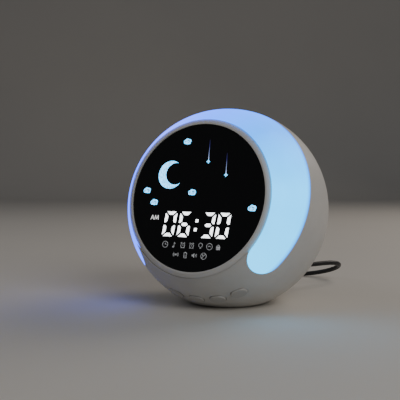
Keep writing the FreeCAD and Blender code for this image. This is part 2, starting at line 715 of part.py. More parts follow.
def display_windows(start, end):
    """Every light window behind the lens: strokes, colon, signs, moon and stars."""
    windows = []
    stroke = size("digit_stroke")
    wide = size("digit_width") - stroke
    tall = size("digit_height") - stroke
    for left in DIGIT_LEFTS:
        x0 = left + stroke / 2
        y0 = DIGIT_FOOT + stroke / 2
        grid = {(i, j): (x0 + i * wide, y0 + j * tall / 2) for i in (0, 1) for j in (0, 1, 2)}
        pairs = [((0, j), (1, j)) for j in (0, 1, 2)] + [((i, j), (i, j + 1)) for i in (0, 1) for j in (0, 1)]
        for a, b in pairs:
            points = stroke_points(grid[a], grid[b], stroke, 0.35)
            windows.append(prism([leaning(p) for p in points], start, end))
    for y in (-19.7, -14.6):
        square = [Vector(COLON_X + sx * 1.1, y + sy * 1.1, 0) for sx, sy in ((-1, -1), (1, -1), (1, 1), (-1, 1))]
        windows.append(prism(square, start, end))
    for y, count, pitch in ICON_ROWS:
        for number in range(count):
            x = (number - (count - 1) / 2) * pitch
            windows.append(Part.makeCylinder(2.0, end - start, Vector(x, y, start)))
    moon = Part.makeCylinder(8.2, end - start, Vector(-19.6, 13.6, start))
    windows.append(moon.cut(Part.makeCylinder(6.9, end - start, Vector(-15.2, 16.2, start))))
    for x, y in ((-10.1, 34.3), (-35.4, 3.6), (-29.6, -3.7), (-3.0, 2.6), (37.4, -6.0), (5.8, 22.0), (18.4, 13.7)):
        windows.append(Part.makeCylinder(1.9, end - start, Vector(x, y, start)))
    windows.append(Part.makeCylinder(2.2, end - start, Vector(-28.0, -14.3, start)))
    return windows


def build_reflector():
    """A white block with a light cell behind each sign of the display."""
    plate = rod("reflector_plate", "{reflector_radius}", "{reflector_depth}")
    cells = solid("reflector_cells", Part.makeCompound(display_windows(-1.0, size("reflector_depth") + 1.0)))
    piece(cut("reflector_cut", plate, cells), "light_cell_block", lifted(FACE, z=size("reflector_back")))
    chips = []
    for window in display_windows(0.0, 1.0):
        spot = window.BoundBox.Center
        chips.append(Part.makeBox(1.2, 0.8, 0.6, Vector(spot.x - 0.6, spot.y - 0.4, 0)))
    chips[28 + 2 + 11] = Part.makeBox(1.2, 0.8, 0.6, Vector(-26.9, 13.2, 0))
    piece(solid("display_chips", Part.makeCompound(chips)), "display_leds", lifted(FACE, z=size("reflector_back")))


build_reflector()

# Night light.
piece(crescent("diffuser", -size("fit_gap"), "{body_radius}", "{body_radius} - {diffuser_wall}"),
      "crescent_diffuser", FACE)


def build_strip():
    """A flexible board bent round the floor of the trough, with its chips."""
    polar = size("strip_polar")
    radius = size("trough_radius")
    half = math.degrees(size("strip_width") / 2 / radius)
    span = size("crescent_span") - 6
    inner = Part.makeSphere(radius + 0.02)
    layer = Part.makeSphere(radius + 0.02 + size("strip_thickness")).cut(inner)
    ring = pointed(math.radians(polar + half), radius * 1.2).cut(pointed(math.radians(polar - half), radius * 1.2))
    gap = Part.makeCylinder(radius * 1.3, radius * 2, Vector(0, 0, -1), Vector(0, 0, 1), 360 - 2 * span)
    gap.rotate(Vector(0, 0, 0), Vector(0, 0, 1), 90 + span)
    band = layer.common(ring).cut(gap)
    piece(solid("light_strip", band), "light_strip", FACE)
    side = size("crescent_led_side")
    chips = []
    count = 13
    for number in range(count):
        chip = Part.makeBox(side, side, size("crescent_led_height"),
                            Vector(-side / 2, -side / 2, radius + 0.1 + size("strip_thickness")))
        chip.rotate(Vector(0, 0, 0), Vector(1, 0, 0), -polar)
        chip.rotate(Vector(0, 0, 0), Vector(0, 0, 1), (number - (count - 1) / 2) * 2 * (span - 4) / (count - 1))
        chips.append(chip)
    piece(solid("light_chips", Part.makeCompound(chips)), "light_strip_leds", FACE)


build_strip()

# Buttons. Each is held in by its flange and lifts off the plunger of its switch.
BUTTON_NAMES = ("button_left_outer", "button_left_inner", "button_right_inner", "button_right_outer")
PLUNGER_NAMES = ("plunger_left_outer", "plunger_left_inner", "plunger_right_inner", "plunger_right_outer")


def build_button(index):
    x, y = button_place(index)
    width = size("button_width")
    depth = size("button_depth")
    margin = 2 * size("flange_margin")
    reach = size("inner_radius") - size("button_gap")
    corner_x = abs(x) + width / 2 + size("flange_margin")
    corner_y = y + depth / 2 + size("flange_margin")
    foot = depth_on(reach, corner_x, corner_y) - size("flange_thickness")
    head = oval(width, depth, foot, size("body_radius") * 1.1)
    head.translate(Vector(x, y, 0))
    head = head.common(Part.makeSphere(size("body_radius") + size("button_rise")))
    flange = oval(width + margin, depth + margin, foot, size("body_radius"))
    flange.translate(Vector(x, y, 0))
    flange = flange.common(Part.makeSphere(reach))
    stem = Part.makeCylinder(size("stem_radius"), foot - size("stem_end") + 0.5, Vector(x, y, size("stem_end")))
    whole = head.fuse([flange, stem])
    edges = []
    for edge in whole.Edges:
        middle = edge.valueAt((edge.FirstParameter + edge.LastParameter) / 2)
        if abs(middle.Length - size("body_radius") - size("button_rise")) < 0.01:
            edges.append(edge)
    whole = whole.makeFillet(0.6, edges)
    piece(solid(BUTTON_NAMES[index] + "_cap", whole), BUTTON_NAMES[index], KEY_WORLD)
    plunger = rod(PLUNGER_NAMES[index] + "_rod", "{plunger_radius}", "{plunger_height} + 2.0")
    piece(plunger, PLUNGER_NAMES[index], lifted(KEY_WORLD, x, y, size("switch_top") - 2.0))


for button_index in range(4):
    build_button(button_index)


def build_key_board():
    board = block("key_board_plate", "{key_board_width}", "{key_board_depth}", "{board_thickness}")
    piece(board, "key_board", lifted(KEY_WORLD, -size("key_board_width") / 2, -size("key_board_depth") / 2,
                                     size("key_board_back")))
    switches = []
    side = size("switch_side")
    for index in range(4):
        x, y = button_place(index)
        housing = Part.makeBox(side, side, size("switch_height"),
                               Vector(x - side / 2, y - side / 2, size("key_distance")))
        well = Part.makeCylinder(size("plunger_radius") + size("plunger_gap"), size("switch_height"),
                                 Vector(x, y, size("key_distance") + 0.6))
        switches.append(housing.cut(well))
    piece(solid("key_switch_set", Part.makeCompound(switches)), "key_switches", KEY_WORLD)


build_key_board()


def screw(length, spot, axis, head_radius="small_head_radius"):
    """A pan head screw with its head seated at a point, its shank along an axis."""
    shank = Part.makeCylinder(size("screw_radius") - 0.05, length, spot, axis)
    head = Part.makeCylinder(size(head_radius), size("screw_head_height"), spot, axis * -1)
    slot = Part.makeBox(size(head_radius) * 1.3, 0.7, 0.9)
    slot.translate(Vector(-size(head_radius) * 0.65, -0.35, 0))
    cross = slot.copy()
    cross.rotate(Vector(0, 0, 0), Vector(0, 0, 1), 90)
    drive = slot.fuse(cross)
    turn = Rotation(Vector(0, 0, 1), axis)
    far_face = spot - axis * size("screw_head_height")
    drive.Placement = Placement(far_face, turn)
    return shank.fuse(head).cut(drive)


def build_screws():
    back = -size("seam_depth") - size("head_depth")
    rear = [screw(size("screw_length"), Vector(x, y, back), Vector(0, 0, 1), "screw_head_radius") for x, y in BOSSES]
    piece(solid("rear_screw_set", Part.makeCompound(rear)), "rear_screws", FACE)
    level = size("main_board_back")
    board = [screw(size("short_screw_length"), Vector(x, y, level), Vector(0, 0, 1)) for x, y in POSTS]
    piece(solid("board_screw_set", Part.makeCompound(board)), "main_board_screws", FACE)
    level = size("reflector_back")
    front = [screw(size("short_screw_length"), Vector(x, y, level), Vector(0, 0, -1)) for x, y in POSTS]
    piece(solid("display_screw_set", Part.makeCompound(front)), "display_board_screws", FACE)


build_screws()


def cut_corner_board():
    """The main board: a padded octagon with a hole for each screw."""
    half = size("main_board_side") / 2
    short = half - size("main_board_corner")
    corners = [(short, -half), (half, -short), (half, short), (short, half), (-short, half), (-half, short),
               (-half, -short), (-short, -half)]
    plate = prism([Vector(x, y, 0) for x, y in corners], 0.0, size("board_thickness"))
    holes = [Part.makeCylinder(size("screw_radius") + 0.1, 10, Vector(x, y, -1)) for x, y in POSTS]
    board = plate.cut(holes)
    piece(solid("main_board_plate", board), "main_board", lifted(FACE, z=size("main_board_back")))


cut_corner_board()

# Chips, a coil, a shielded radio and the lead sockets, as length, width, height, x and y on the main board.
MAIN_BOARD_PARTS = (
    (12.0, 12.0, 1.6, -8.0, 6.0),
    (8.0, 6.0, 1.5, 14.0, 14.0),
    (18.0, 14.0, 2.4, -16.0, -18.0),
    (6.0, 6.0, 4.0, 16.0, -4.0),
    (5.0, 4.0, 1.4, 6.0, -12.0),
    (7.5, 5.0, 6.0, 22.0, 6.0),
    (7.5, 5.0, 6.0, 22.0, -14.0),
)
FLAT_LEAD_X = 0.0
FLAT_LEAD_Y = 24.0
FLAT_SOCKET = (18.0, 5.0, 2.6)


def build_board_parts():
    back = size("main_board_back")
    parts = []
    for length, width, height, x, y in MAIN_BOARD_PARTS:
        parts.append(Part.makeBox(length, width, height, Vector(x - length / 2, y - width / 2, back - height)))
    length, width, height = FLAT_SOCKET
    parts.append(Part.makeBox(length, width, height, Vector(-length / 2, FLAT_LEAD_Y - width / 2, size("main_board_level"))))
    parts.append(Part.makeBox(length, width, height, Vector(-length / 2, FLAT_LEAD_Y - width / 2, size("shelf_top") - height)))
    piece(solid("board_part_set", Part.makeCompound(parts)), "board_components", FACE)
    gap = size("shelf_top") - height - size("main_board_level") - height
    lead = Part.makeBox(length - 3, 0.4, gap, Vector(-(length - 3) / 2, FLAT_LEAD_Y - 0.2, size("main_board_level") + height))
    piece(solid("flat_lead", lead), "display_ribbon", FACE)


build_board_parts()

# Loudspeaker, turned about its own axis and facing the sound holes.
SPEAKER = lifted(FACE, 0, size("speaker_lift"), -size("speaker_seat"))


def build_speaker():
    radius = size("speaker_radius")
    wall = 0.8
    start = size("gasket_thickness")
    deep = size("basket_depth")
    magnet = size("magnet_radius")
    ring = Part.makeCylinder(radius, start).cut(Part.makeCylinder(radius - 2.5, start))
    piece(solid("speaker_ring_foam", ring), "speaker_gasket", SPEAKER)
    outer = [Vector(radius - 2.5, 0, start), Vector(radius, 0, start), Vector(radius, 0, start + 1.2),
             Vector(radius - 1.6, 0, start + 1.2), Vector(magnet, 0, start + deep), Vector(3.0, 0, start + deep),
             Vector(3.0, 0, start + deep - wall), Vector(magnet - 0.6, 0, start + deep - wall),
             Vector(radius - 2.6, 0, start + 1.0)]
    basket = Part.Face(Part.makePolygon(outer + [outer[0]])).revolve(Vector(0, 0, 0), Vector(0, 0, 1), 360)
    piece(solid("speaker_basket_turned", basket), "speaker_basket", SPEAKER)
    cone = [Vector(0, 0, start + 4.2), Vector(4.0, 0, start + 5.0), Vector(12.6, 0, start + 1.2),
            Vector(14.2, 0, start + 0.2), Vector(15.25, 0, start + 0.3), Vector(15.25, 0, start + 0.7),
            Vector(14.2, 0, start + 0.6), Vector(12.8, 0, start + 1.7), Vector(4.1, 0, start + 5.5),
            Vector(0, 0, start + 4.7)]
    paper = Part.Face(Part.makePolygon(cone + [cone[0]])).revolve(Vector(0, 0, 0), Vector(0, 0, 1), 360)
    piece(solid("speaker_cone_turned", paper), "speaker_cone", SPEAKER)
    piece(rod("speaker_magnet_disc", "{magnet_radius}", "{magnet_height}"), "speaker_magnet",
          lifted(SPEAKER, z=start + deep))


build_speaker()

# Power inlet, in the recess low on the rear shell.


def flat_pin(width, thickness, length):
    """A bar with round short sides that lies along Y."""
    bar = oval(width, thickness, 0, length)
    bar.rotate(Vector(0, 0, 0), Vector(1, 0, 0), -90)
    return bar


SOCKET = Vector(size("socket_offset"), size("recess_floor"), size("socket_height"))


def build_socket():
    length = size("socket_length")
    width = size("socket_width")
    height = size("socket_thickness")
    sheet = size("socket_wall")
    outer = flat_pin(width, height, length)
    inner = flat_pin(width - 2 * sheet, height - 2 * sheet, length)
    inner.translate(Vector(0, 0.8, 0))
    shell = outer.cut(inner)
    shell.translate(SOCKET - Vector(0, length, 0))
    piece(solid("power_socket_sheet", shell), "power_socket")
    top = size("socket_height") - height / 2
    depth = length + 5
    board = Part.makeBox(size("recess_width") + 1, depth, size("board_thickness"),
                         Vector(SOCKET.x - size("recess_width") / 2 - 0.5,
                                size("recess_floor") - size("recess_wall") - 0.1 - depth,
                                top - size("board_thickness")))
    piece(solid("power_board_plate", board), "power_board")


build_socket()

# Battery in its cradle over the floor.


def build_battery():
    radius = size("cell_radius")
    length = size("cell_length")
    axis = Vector(1, 0, 0)
    start = Vector(-length / 2, size("cell_setback"), size("cell_height"))
    sleeve = Part.makeCylinder(radius, length, start, axis)
    tip = Part.makeCylinder(radius * 0.35, 1.0, start + Vector(length, 0, 0), axis)
    piece(solid("battery_round", sleeve.fuse(tip).removeSplitter()), "battery_cell")
    wall = size("cradle_wall")
    width = 2 * (radius + wall)
    low = size("floor_top")
    tall = size("cell_height") - low + radius * 0.35
    block_shape = Part.makeBox(length + 2 * wall + 3, width, tall,
                               Vector(-length / 2 - wall - 0.5, size("cell_setback") - width / 2, low))
    limit = Part.makeSphere(size("inner_radius") - 0.2, CENTRE)
    well = Part.makeCylinder(radius + 0.15, length + 2.4, start - Vector(0.2, 0, 0), axis)
    cradle = block_shape.common(limit).cut(well)
    slot = Part.makeBox(length - 16, width * 0.45, radius * 2,
                        Vector(-length / 2 + 8, size("cell_setback") - width * 0.225, low + 1.6))
    cradle = cradle.cut(slot)
    piece(solid("cradle_shape", cradle), "battery_cradle")


build_battery()

disc("foot_pad", "pad_radius", "pad_stand", Placement())
foot = PIECES[-1]
foot.Tip.setExpression("Length", "Sizes.pad_stand + Sizes.pad_recess")

# Power lead. Its points lie on the middle of the cord, in millimetres from the origin.
PLUG = Vector(size("socket_offset"), size("plug_start"), size("socket_height"))


def build_plug():
    body = flat_pin(size("plug_width"), size("plug_thickness"), size("plug_length"))
    relief = Part.makeCone(size("cord_radius") + 1.1, size("cord_radius") + 0.5, size("relief_length"),
                           Vector(0, size("plug_length"), 0), Vector(0, 1, 0))
    whole = body.fuse(relief)
    whole.translate(PLUG)
    piece(solid("plug_mould", whole), "power_plug")
    tongue = flat_pin(size("tongue_width"), size("tongue_thickness"), size("tongue_length"))
    tongue.translate(PLUG - Vector(0, size("tongue_length"), 0))
    piece(solid("plug_metal", tongue), "power_plug_tip")


build_plug()

# The loop that shows beside the clock: out of the plug, over in a low arch, then down and round behind it.
LOOP_POINTS = (
    (21.0, 61.8, 18.5),
    (21.0, 71.0, 18.5),
    (25.5, 81.5, 16.4),
    (32.0, 92.0, 16.8),
    (37.6, 103.0, 16.6),
    (38.8, 114.0, 14.2),
    (34.0, 124.0, 10.4),
    (25.0, 130.5, 6.6),
    (13.0, 133.0, 3.4),
    (2.0, 130.0, 1.9),
    (-7.0, 124.5, 1.75),
    (-15.2, 121.7, 1.75),
    (-22.6, 121.7, 1.75),
)
# From the top of the coil down to the table and along to the far plug.
TAIL_POINTS = (
    (-29.4, 121.7, 5.95),
    (-36.0, 121.7, 5.95),
    (-43.4, 120.3, 5.3),
    (-50.2, 117.0, 4.6),
    (-55.7, 111.7, 4.2),
    (-59.3, 105.0, 4.0),
    (-61.0, 98.0, 3.95),
    (-61.0, 91.5, 3.95),
)
COIL_MIDDLE = Vector(-26.0, 97.0, 0)
TABLE_GAP = 0.05
COIL_TURNS = 2.75
COIL_OUTER = 24.7
COIL_PITCH = 4.0
LAYER_RISE = 4.2


def rounded_route(points):
    """Straight runs joined by tangent arcs as large as the runs allow, with the least radius."""
    spots = [Vector(*p) for p in points]
    edges = []
    start = spots[0]
    radii = []
    for before, corner, after in zip(spots, spots[1:], spots[2:]):
        into = (corner - before)
        out = (after - corner)
        reach = 0.45 * min(into.Length, out.Length)
        turn = into.getAngle(out)
        into.normalize()
        out.normalize()
        radius = reach / math.tan(turn / 2)
        radii.append(radius)
        first = corner - into * reach
        last = corner + out * reach
        bow = (out - into).normalize()
        middle = corner + bow * (radius / math.cos(turn / 2) - radius)
        edges.append(Part.LineSegment(start, first).toShape())
        edges.append(Part.Arc(first, middle, last).toShape())
        start = last
    edges.append(Part.LineSegment(start, spots[-1]).toShape())
    print("least bend radius", round(min(radii), 1), "mm over", round(sum(e.Length for e in edges), 1), "mm")
    return Part.Wire(edges)


def swept(route, radius):
    """A round cord along a route, checked against its section and length."""
    first = route.Edges[0]
    start = first.valueAt(first.FirstParameter)
    along = first.tangentAt(first.FirstParameter)
    ring = Part.Wire([Part.makeCircle(radius, start, along)])
    cord = route.makePipeShell([ring], True, False)
    expected = math.pi * radius ** 2 * route.Length
    print("cord volume over section times length", round(cord.Volume / expected, 4))
    return cord


def build_loop():
    route = rounded_route(LOOP_POINTS)
    piece(solid("loop_cord", swept(route, size("cord_radius"))), "power_cord")
    route = rounded_route(TAIL_POINTS)
    piece(solid("tail_cord", swept(route, size("cord_radius"))), "power_cord_tail")


build_loop()


def coil_point(turn):
    """Middle of the cord after a turn in radians: in, up in a half turn, and out again."""
    steady = COIL_TURNS * 2 * math.pi
    slope = COIL_PITCH / (2 * math.pi)
    inner = COIL_OUTER - slope * steady
    low = size("cord_radius") + TABLE_GAP
    if turn <= steady:
        radius = COIL_OUTER - slope * turn
        level = low
    elif turn <= steady + math.pi:
        part = turn - steady
        radius = inner - slope * part + slope * part ** 2 / math.pi
        level = low + LAYER_RISE * (1 - math.cos(part)) / 2
    else:
        radius = inner + slope * (turn - steady - math.pi)
        level = low + LAYER_RISE
    angle = math.pi / 2 + turn
    return COIL_MIDDLE + Vector(radius * math.cos(angle), radius * math.sin(angle), level)


def coil_heading(turn):
    step = 1e-4
    return (coil_point(turn + step) - coil_point(turn - step)).normalize()


def two_arcs(start, start_way, end, end_way):
    """Two tangent arcs that leave and arrive along given directions."""
    gap = end - start
    total = start_way + end_way
    a = 2 * (1 - start_way.dot(end_way))
    b = 2 * gap.dot(total)
    c = -gap.dot(gap)
    if abs(a) < 1e-9:
        reach = -c / b
    else:
        reach = (-b + math.sqrt(b * b - 4 * a * c)) / (2 * a)
    first = start + start_way * reach
    second = end - end_way * reach
    joint = (first + second) * 0.5
    arcs = []
    for near, knee, far in ((start, first, joint), (joint, second, end)):
        chord = far - near
        height = knee - (near + far) * 0.5
        half = chord.Length / 2
        bow = half * half / (half * half + height.Length ** 2)
        sag = height.Length
        side = math.hypot(half, sag)
        lift = half * (side - half) / sag if sag > 1e-9 else 0
        middle = (near + far) * 0.5 + (height.normalize() * lift if sag > 1e-9 else Vector())
        arcs.append(Part.Arc(near, middle, far).toShape() if sag > 1e-6 else Part.LineSegment(near, far).toShape())
    return arcs


def build_coil():
    whole_turn = 2 * COIL_TURNS * 2 * math.pi + math.pi
    steps = round(whole_turn / (math.pi / 2))
    turns = [whole_turn * i / steps for i in range(steps + 1)]
    thick = 2 * size("cord_radius")
    flat = Vector(-1, 0, 0)
    spots = [coil_point(t) for t in turns]
    ways = [coil_heading(t) for t in turns]
    ways[0] = flat
    ways[-1] = flat
    edges = [Part.LineSegment(spots[0] - flat * thick, spots[0]).toShape()]
    for i in range(steps):
        edges += two_arcs(spots[i], ways[i], spots[i + 1], ways[i + 1])
    edges.append(Part.LineSegment(spots[-1], spots[-1] + flat * thick).toShape())
    route = Part.Wire(edges)
    print("coil starts", edges[0].valueAt(edges[0].FirstParameter), "ends", spots[-1] + flat * thick)
    points = route.discretize(Distance=1.0)
    apart = thick * 2
    least = min((p - q).Length for i, p in enumerate(points) for q in points[i + int(apart * 2):])
    print("coil of", round(route.Length), "mm, least gap to itself", round(least - thick, 2), "mm")
    piece(solid("coil_cord", swept(route, size("cord_radius"))), "power_cord_coil")


build_coil()


def build_far_plug():
    """The flat plug at the far end of the lead, lying on the table."""
    end = Vector(*TAIL_POINTS[-1])
    relief = Part.makeCone(size("cord_radius") + 0.5, size("cord_radius") + 1.0, 6.0, end, Vector(0, -1, 0))
    body = Part.makeBox(15.6, 22.0, 7.8, Vector(end.x - 7.8, end.y - 28.0, end.z - 3.9))
    edges = [edge for edge in body.Edges if abs(edge.tangentAt(0).y) > 0.9]
    body = body.makeFillet(1.8, edges)
    piece(solid("far_plug_mould", body.fuse(relief)), "usb_plug")
    metal = Part.makeBox(12.0, 11.8, 4.5, Vector(end.x - 6.0, end.y - 39.8, end.z - 2.25))
    hollow = Part.makeBox(11.2, 9.8, 3.7, Vector(end.x - 5.6, end.y - 39.8, end.z - 1.85))
    bar = Part.makeBox(11.2, 9.0, 1.7, Vector(end.x - 5.6, end.y - 37.0, end.z - 1.85))
    piece(solid("far_plug_metal", metal.cut(hollow).fuse(bar)), "usb_plug_tip")


build_far_plug()


def write_pieces():
    """Check every object, then write one file for each piece."""
    doc.recompute()
    faults = [thing.Name for thing in doc.Objects if "Invalid" in thing.State or "Error" in thing.State]
    for thing in PIECES:
        if thing.Shape.isNull() or not thing.Shape.isValid():
            faults.append(thing.Label)
    if faults:
        raise RuntimeError("faulty: " + ", ".join(faults))
    os.makedirs("parts", exist_ok=True)
    for thing in PIECES:
        thing.Shape.exportStep(f"parts/{thing.Label}.step")
        print(f"{thing.Label}: {len(thing.Shape.Solids)} solids, {thing.Shape.Volume:.0f} mm3")


write_pieces()
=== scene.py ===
"""Globe clock with a crescent night light: its finishes, display figures, lead and studio."""

import logging
import math
from dataclasses import dataclass, field
from enum import Enum

import bpy
import numpy as np
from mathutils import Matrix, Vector


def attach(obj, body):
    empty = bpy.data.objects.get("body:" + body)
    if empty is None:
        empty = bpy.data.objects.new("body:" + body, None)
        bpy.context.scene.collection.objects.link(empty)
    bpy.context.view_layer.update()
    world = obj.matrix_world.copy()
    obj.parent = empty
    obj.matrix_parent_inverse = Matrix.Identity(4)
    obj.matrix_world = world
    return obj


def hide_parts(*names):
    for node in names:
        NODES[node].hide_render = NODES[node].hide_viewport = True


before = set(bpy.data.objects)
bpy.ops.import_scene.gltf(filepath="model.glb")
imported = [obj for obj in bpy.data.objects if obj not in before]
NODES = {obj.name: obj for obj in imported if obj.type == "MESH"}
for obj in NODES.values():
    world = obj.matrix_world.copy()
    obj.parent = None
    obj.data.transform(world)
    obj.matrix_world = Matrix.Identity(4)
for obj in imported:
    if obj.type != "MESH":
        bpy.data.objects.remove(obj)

log = logging.getLogger("clock")
MM = 0.001
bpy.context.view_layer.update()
HOUSING = "housing"

Array = np.ndarray
Socket = bpy.types.NodeSocket
Colour = tuple[float, float, float]
Spot = tuple[float, float]


# Places.

@dataclass(frozen=True)
class FacePlane:
    """The plane of the round display: x to the right, y up the face, z out of it, in millimetres."""

    centre: tuple[float, float, float] = (0.0, 0.0, 60.5)
    tilt: float = 12.2
    lens_front: float = 42.6

    @property
    def up(self) -> Array:
        """Unit vector up the face."""
        lean = math.radians(self.tilt)
        return np.array([0.0, math.sin(lean), math.cos(lean)])

    @property
    def out(self) -> Array:
        """Unit vector out of the face."""
        lean = math.radians(self.tilt)
        return np.array([0.0, -math.cos(lean), math.sin(lean)])

    def place(self, flat: Array, lift: Array | float) -> Array:
        """Lay flat figures on the lens.

        Args:
            flat: Rows of x and y on the face.
            lift: How far each point stands out of the lens.

        Returns:
            Rows of x, y and z in metres: the centre, plus x to the right, y along up and depth along out.
        """
        depth = np.broadcast_to(self.lens_front + np.asarray(lift, float), len(flat))
        spots = np.array(self.centre) + flat[:, 1:2] * self.up + depth[:, None] * self.out
        spots[:, 0] += flat[:, 0]
        return spots * MM


FACE = FacePlane()


# Surfaces.

def rows_of_quads(rows: int, columns: int, wrap_rows: bool, wrap_columns: bool) -> Array:
    """Corner numbers of a grid's faces.

    Args:
        rows: Number of rows of points.
        columns: Number of points in a row.
        wrap_rows: Whether the last row joins the first.
        wrap_columns: Whether each row closes on itself.

    Returns:
        One row of four corners for each face; corner (i, j) is number i times columns plus j.
    """
    i = np.arange(rows if wrap_rows else rows - 1)[:, None]
    j = np.arange(columns if wrap_columns else columns - 1)[None, :]
    after_i = (i + 1) % rows
    after_j = (j + 1) % columns
    corners = [i * columns + j, i * columns + after_j, after_i * columns + after_j, after_i * columns + j]
    return np.stack([np.broadcast_to(c, (i.size, j.size)) for c in corners], axis=-1).reshape(-1, 4)


def linked(name: str, data: bpy.types.ID) -> bpy.types.Object:
    """Make an object from its data and link it to the scene.

    Args:
        name: The object's name.
        data: Its mesh, curve, lamp or camera.

    Returns:
        The new object.
    """
    made = bpy.data.objects.new(name, data)
    bpy.context.scene.collection.objects.link(made)
    return made


def arc_points(centre: Spot, radius: float, start: float, end: float, count: int) -> Array:
    """Points of an arc: the centre plus the radius times the cosine and sine of even angles in degrees."""
    turn = np.radians(np.linspace(start, end, count))
    return np.column_stack([centre[0] + radius * np.cos(turn), centre[1] + radius * np.sin(turn)])


@dataclass
class Relief:
    """Flat figures that stand a little out of the lens, gathered into one mesh."""

    name: str
    height: float = 0.08
    ring_sides: int = 40
    dot_sides: int = 24
    points: list[Array] = field(default_factory=list)
    faces: list[Array] = field(default_factory=list)
    along: list[Array] = field(default_factory=list)
    total: int = 0

    def add(self, flat: Array, lift: Array, faces: list[Array], along: Array) -> None:
        """Add one figure, whose corner numbers follow those that are already there.

        Args:
            flat: Rows of x and y on the face.
            lift: How far each point stands out of the lens.
            faces: Arrays of corner numbers, counted from the figure's first point.
            along: Each point's share of the way along the figure.
        """
        self.points.append(FACE.place(flat, lift))
        self.faces += [f + self.total for f in faces]
        self.along.append(along)
        self.total += len(flat)

    def plate(self, outline: Array) -> None:
        """Add a plate whose outline is seen whole from its middle.

        Args:
            outline: The points round it. Two rings of them, low and high, each close on a middle point.
        """
        count = len(outline)
        middle = outline.mean(axis=0, keepdims=True)
        flat = np.vstack([outline, outline, middle, middle])
        lift = np.concatenate([np.zeros(count), np.full(count, self.height), [0.0, self.height]])
        here = np.arange(count)
        after = (here + 1) % count
        low = np.column_stack([after, here, np.full(count, 2 * count)])
        high = np.column_stack([here + count, after + count, np.full(count, 2 * count + 1)])
        self.add(flat, lift, [rows_of_quads(2, count, False, True), low, high], np.zeros(len(flat)))

    def band(self, inner: Array, outer: Array, closed: bool = False) -> None:
        """Add a flat band between two lines.

        The section at each pair is a rectangle of four corners, inner and outer, low and high.

        Args:
            inner: Points of one edge.
            outer: As many points of the other edge.
            closed: Whether the band is a ring.
        """
        count = len(inner)
        section = np.stack([inner, outer, outer, inner], axis=1).reshape(-1, 2)
        lift = np.tile([0.0, 0.0, self.height, self.height], count)
        faces = [rows_of_quads(count, 4, closed, True)]
        if not closed:
            last = 4 * (count - 1)
            faces.append(np.array([[3, 2, 1, 0], [last, last + 1, last + 2, last + 3]]))
        self.add(section, lift, faces, np.repeat(np.linspace(0, 1, count), 4))

    def stroke(self, path: Array, width: float | Array, closed: bool = False) -> None:
        """Add a line of a given width: each edge is the path moved half the width along its normal.

        Args:
            path: The points along its middle.
            width: One width, or one for each point.
            closed: Whether the last point joins the first.
        """
        path = np.asarray(path, float)
        if closed:
            heading = np.roll(path, -1, axis=0) - np.roll(path, 1, axis=0)
        else:
            heading = np.gradient(path, axis=0)
        heading /= np.linalg.norm(heading, axis=1, keepdims=True)
        normal = np.column_stack([-heading[:, 1], heading[:, 0]])
        half = np.broadcast_to(np.asarray(width, float) / 2, len(path))[:, None]
        self.band(path - normal * half, path + normal * half, closed)

    def line(self, start: Spot, end: Spot, width: float) -> None:
        """Add a straight line between two points."""
        self.stroke(np.linspace(start, end, 2), width)

    def ring(self, centre: Spot, radius: float, width: float) -> None:
        """Add a round line about a centre."""
        circle = arc_points(centre, radius, 0, 360, self.ring_sides + 1)[:-1]
        self.stroke(circle, width, closed=True)

    def dot(self, centre: Spot, radius: float) -> None:
        """Add a round spot."""
        self.plate(arc_points(centre, radius, 0, 360, self.dot_sides + 1)[:-1])

    def piece(self, finish: "Finish", slot: str) -> None:
        """Make the mesh, finish it and let it ride with the housing.

        The way along each figure is the first number of the mesh's UV map.

        Args:
            finish: The surface that it gets.
            slot: The material slot of the record that it belongs to; not used.
        """
        mesh = bpy.data.meshes.new(self.name)
        faces = [face for part in self.faces for face in part.tolist()]
        mesh.from_pydata(np.vstack(self.points).tolist(), [], faces)
        along = np.concatenate(self.along)
        layer = mesh.uv_layers.new(name="along")
        corners = np.zeros(len(mesh.loops), np.int32)
        mesh.loops.foreach_get("vertex_index", corners)
        layer.data.foreach_set("uv", np.column_stack([along[corners], np.zeros(len(corners))]).ravel())
        mesh.validate()
        mesh.update()
        made = linked(self.name, mesh)
        mesh.materials.append(finish.material())
        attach(made, HOUSING)
        log.info("made %s with %d faces", self.name, len(mesh.polygons))


# Finishes.

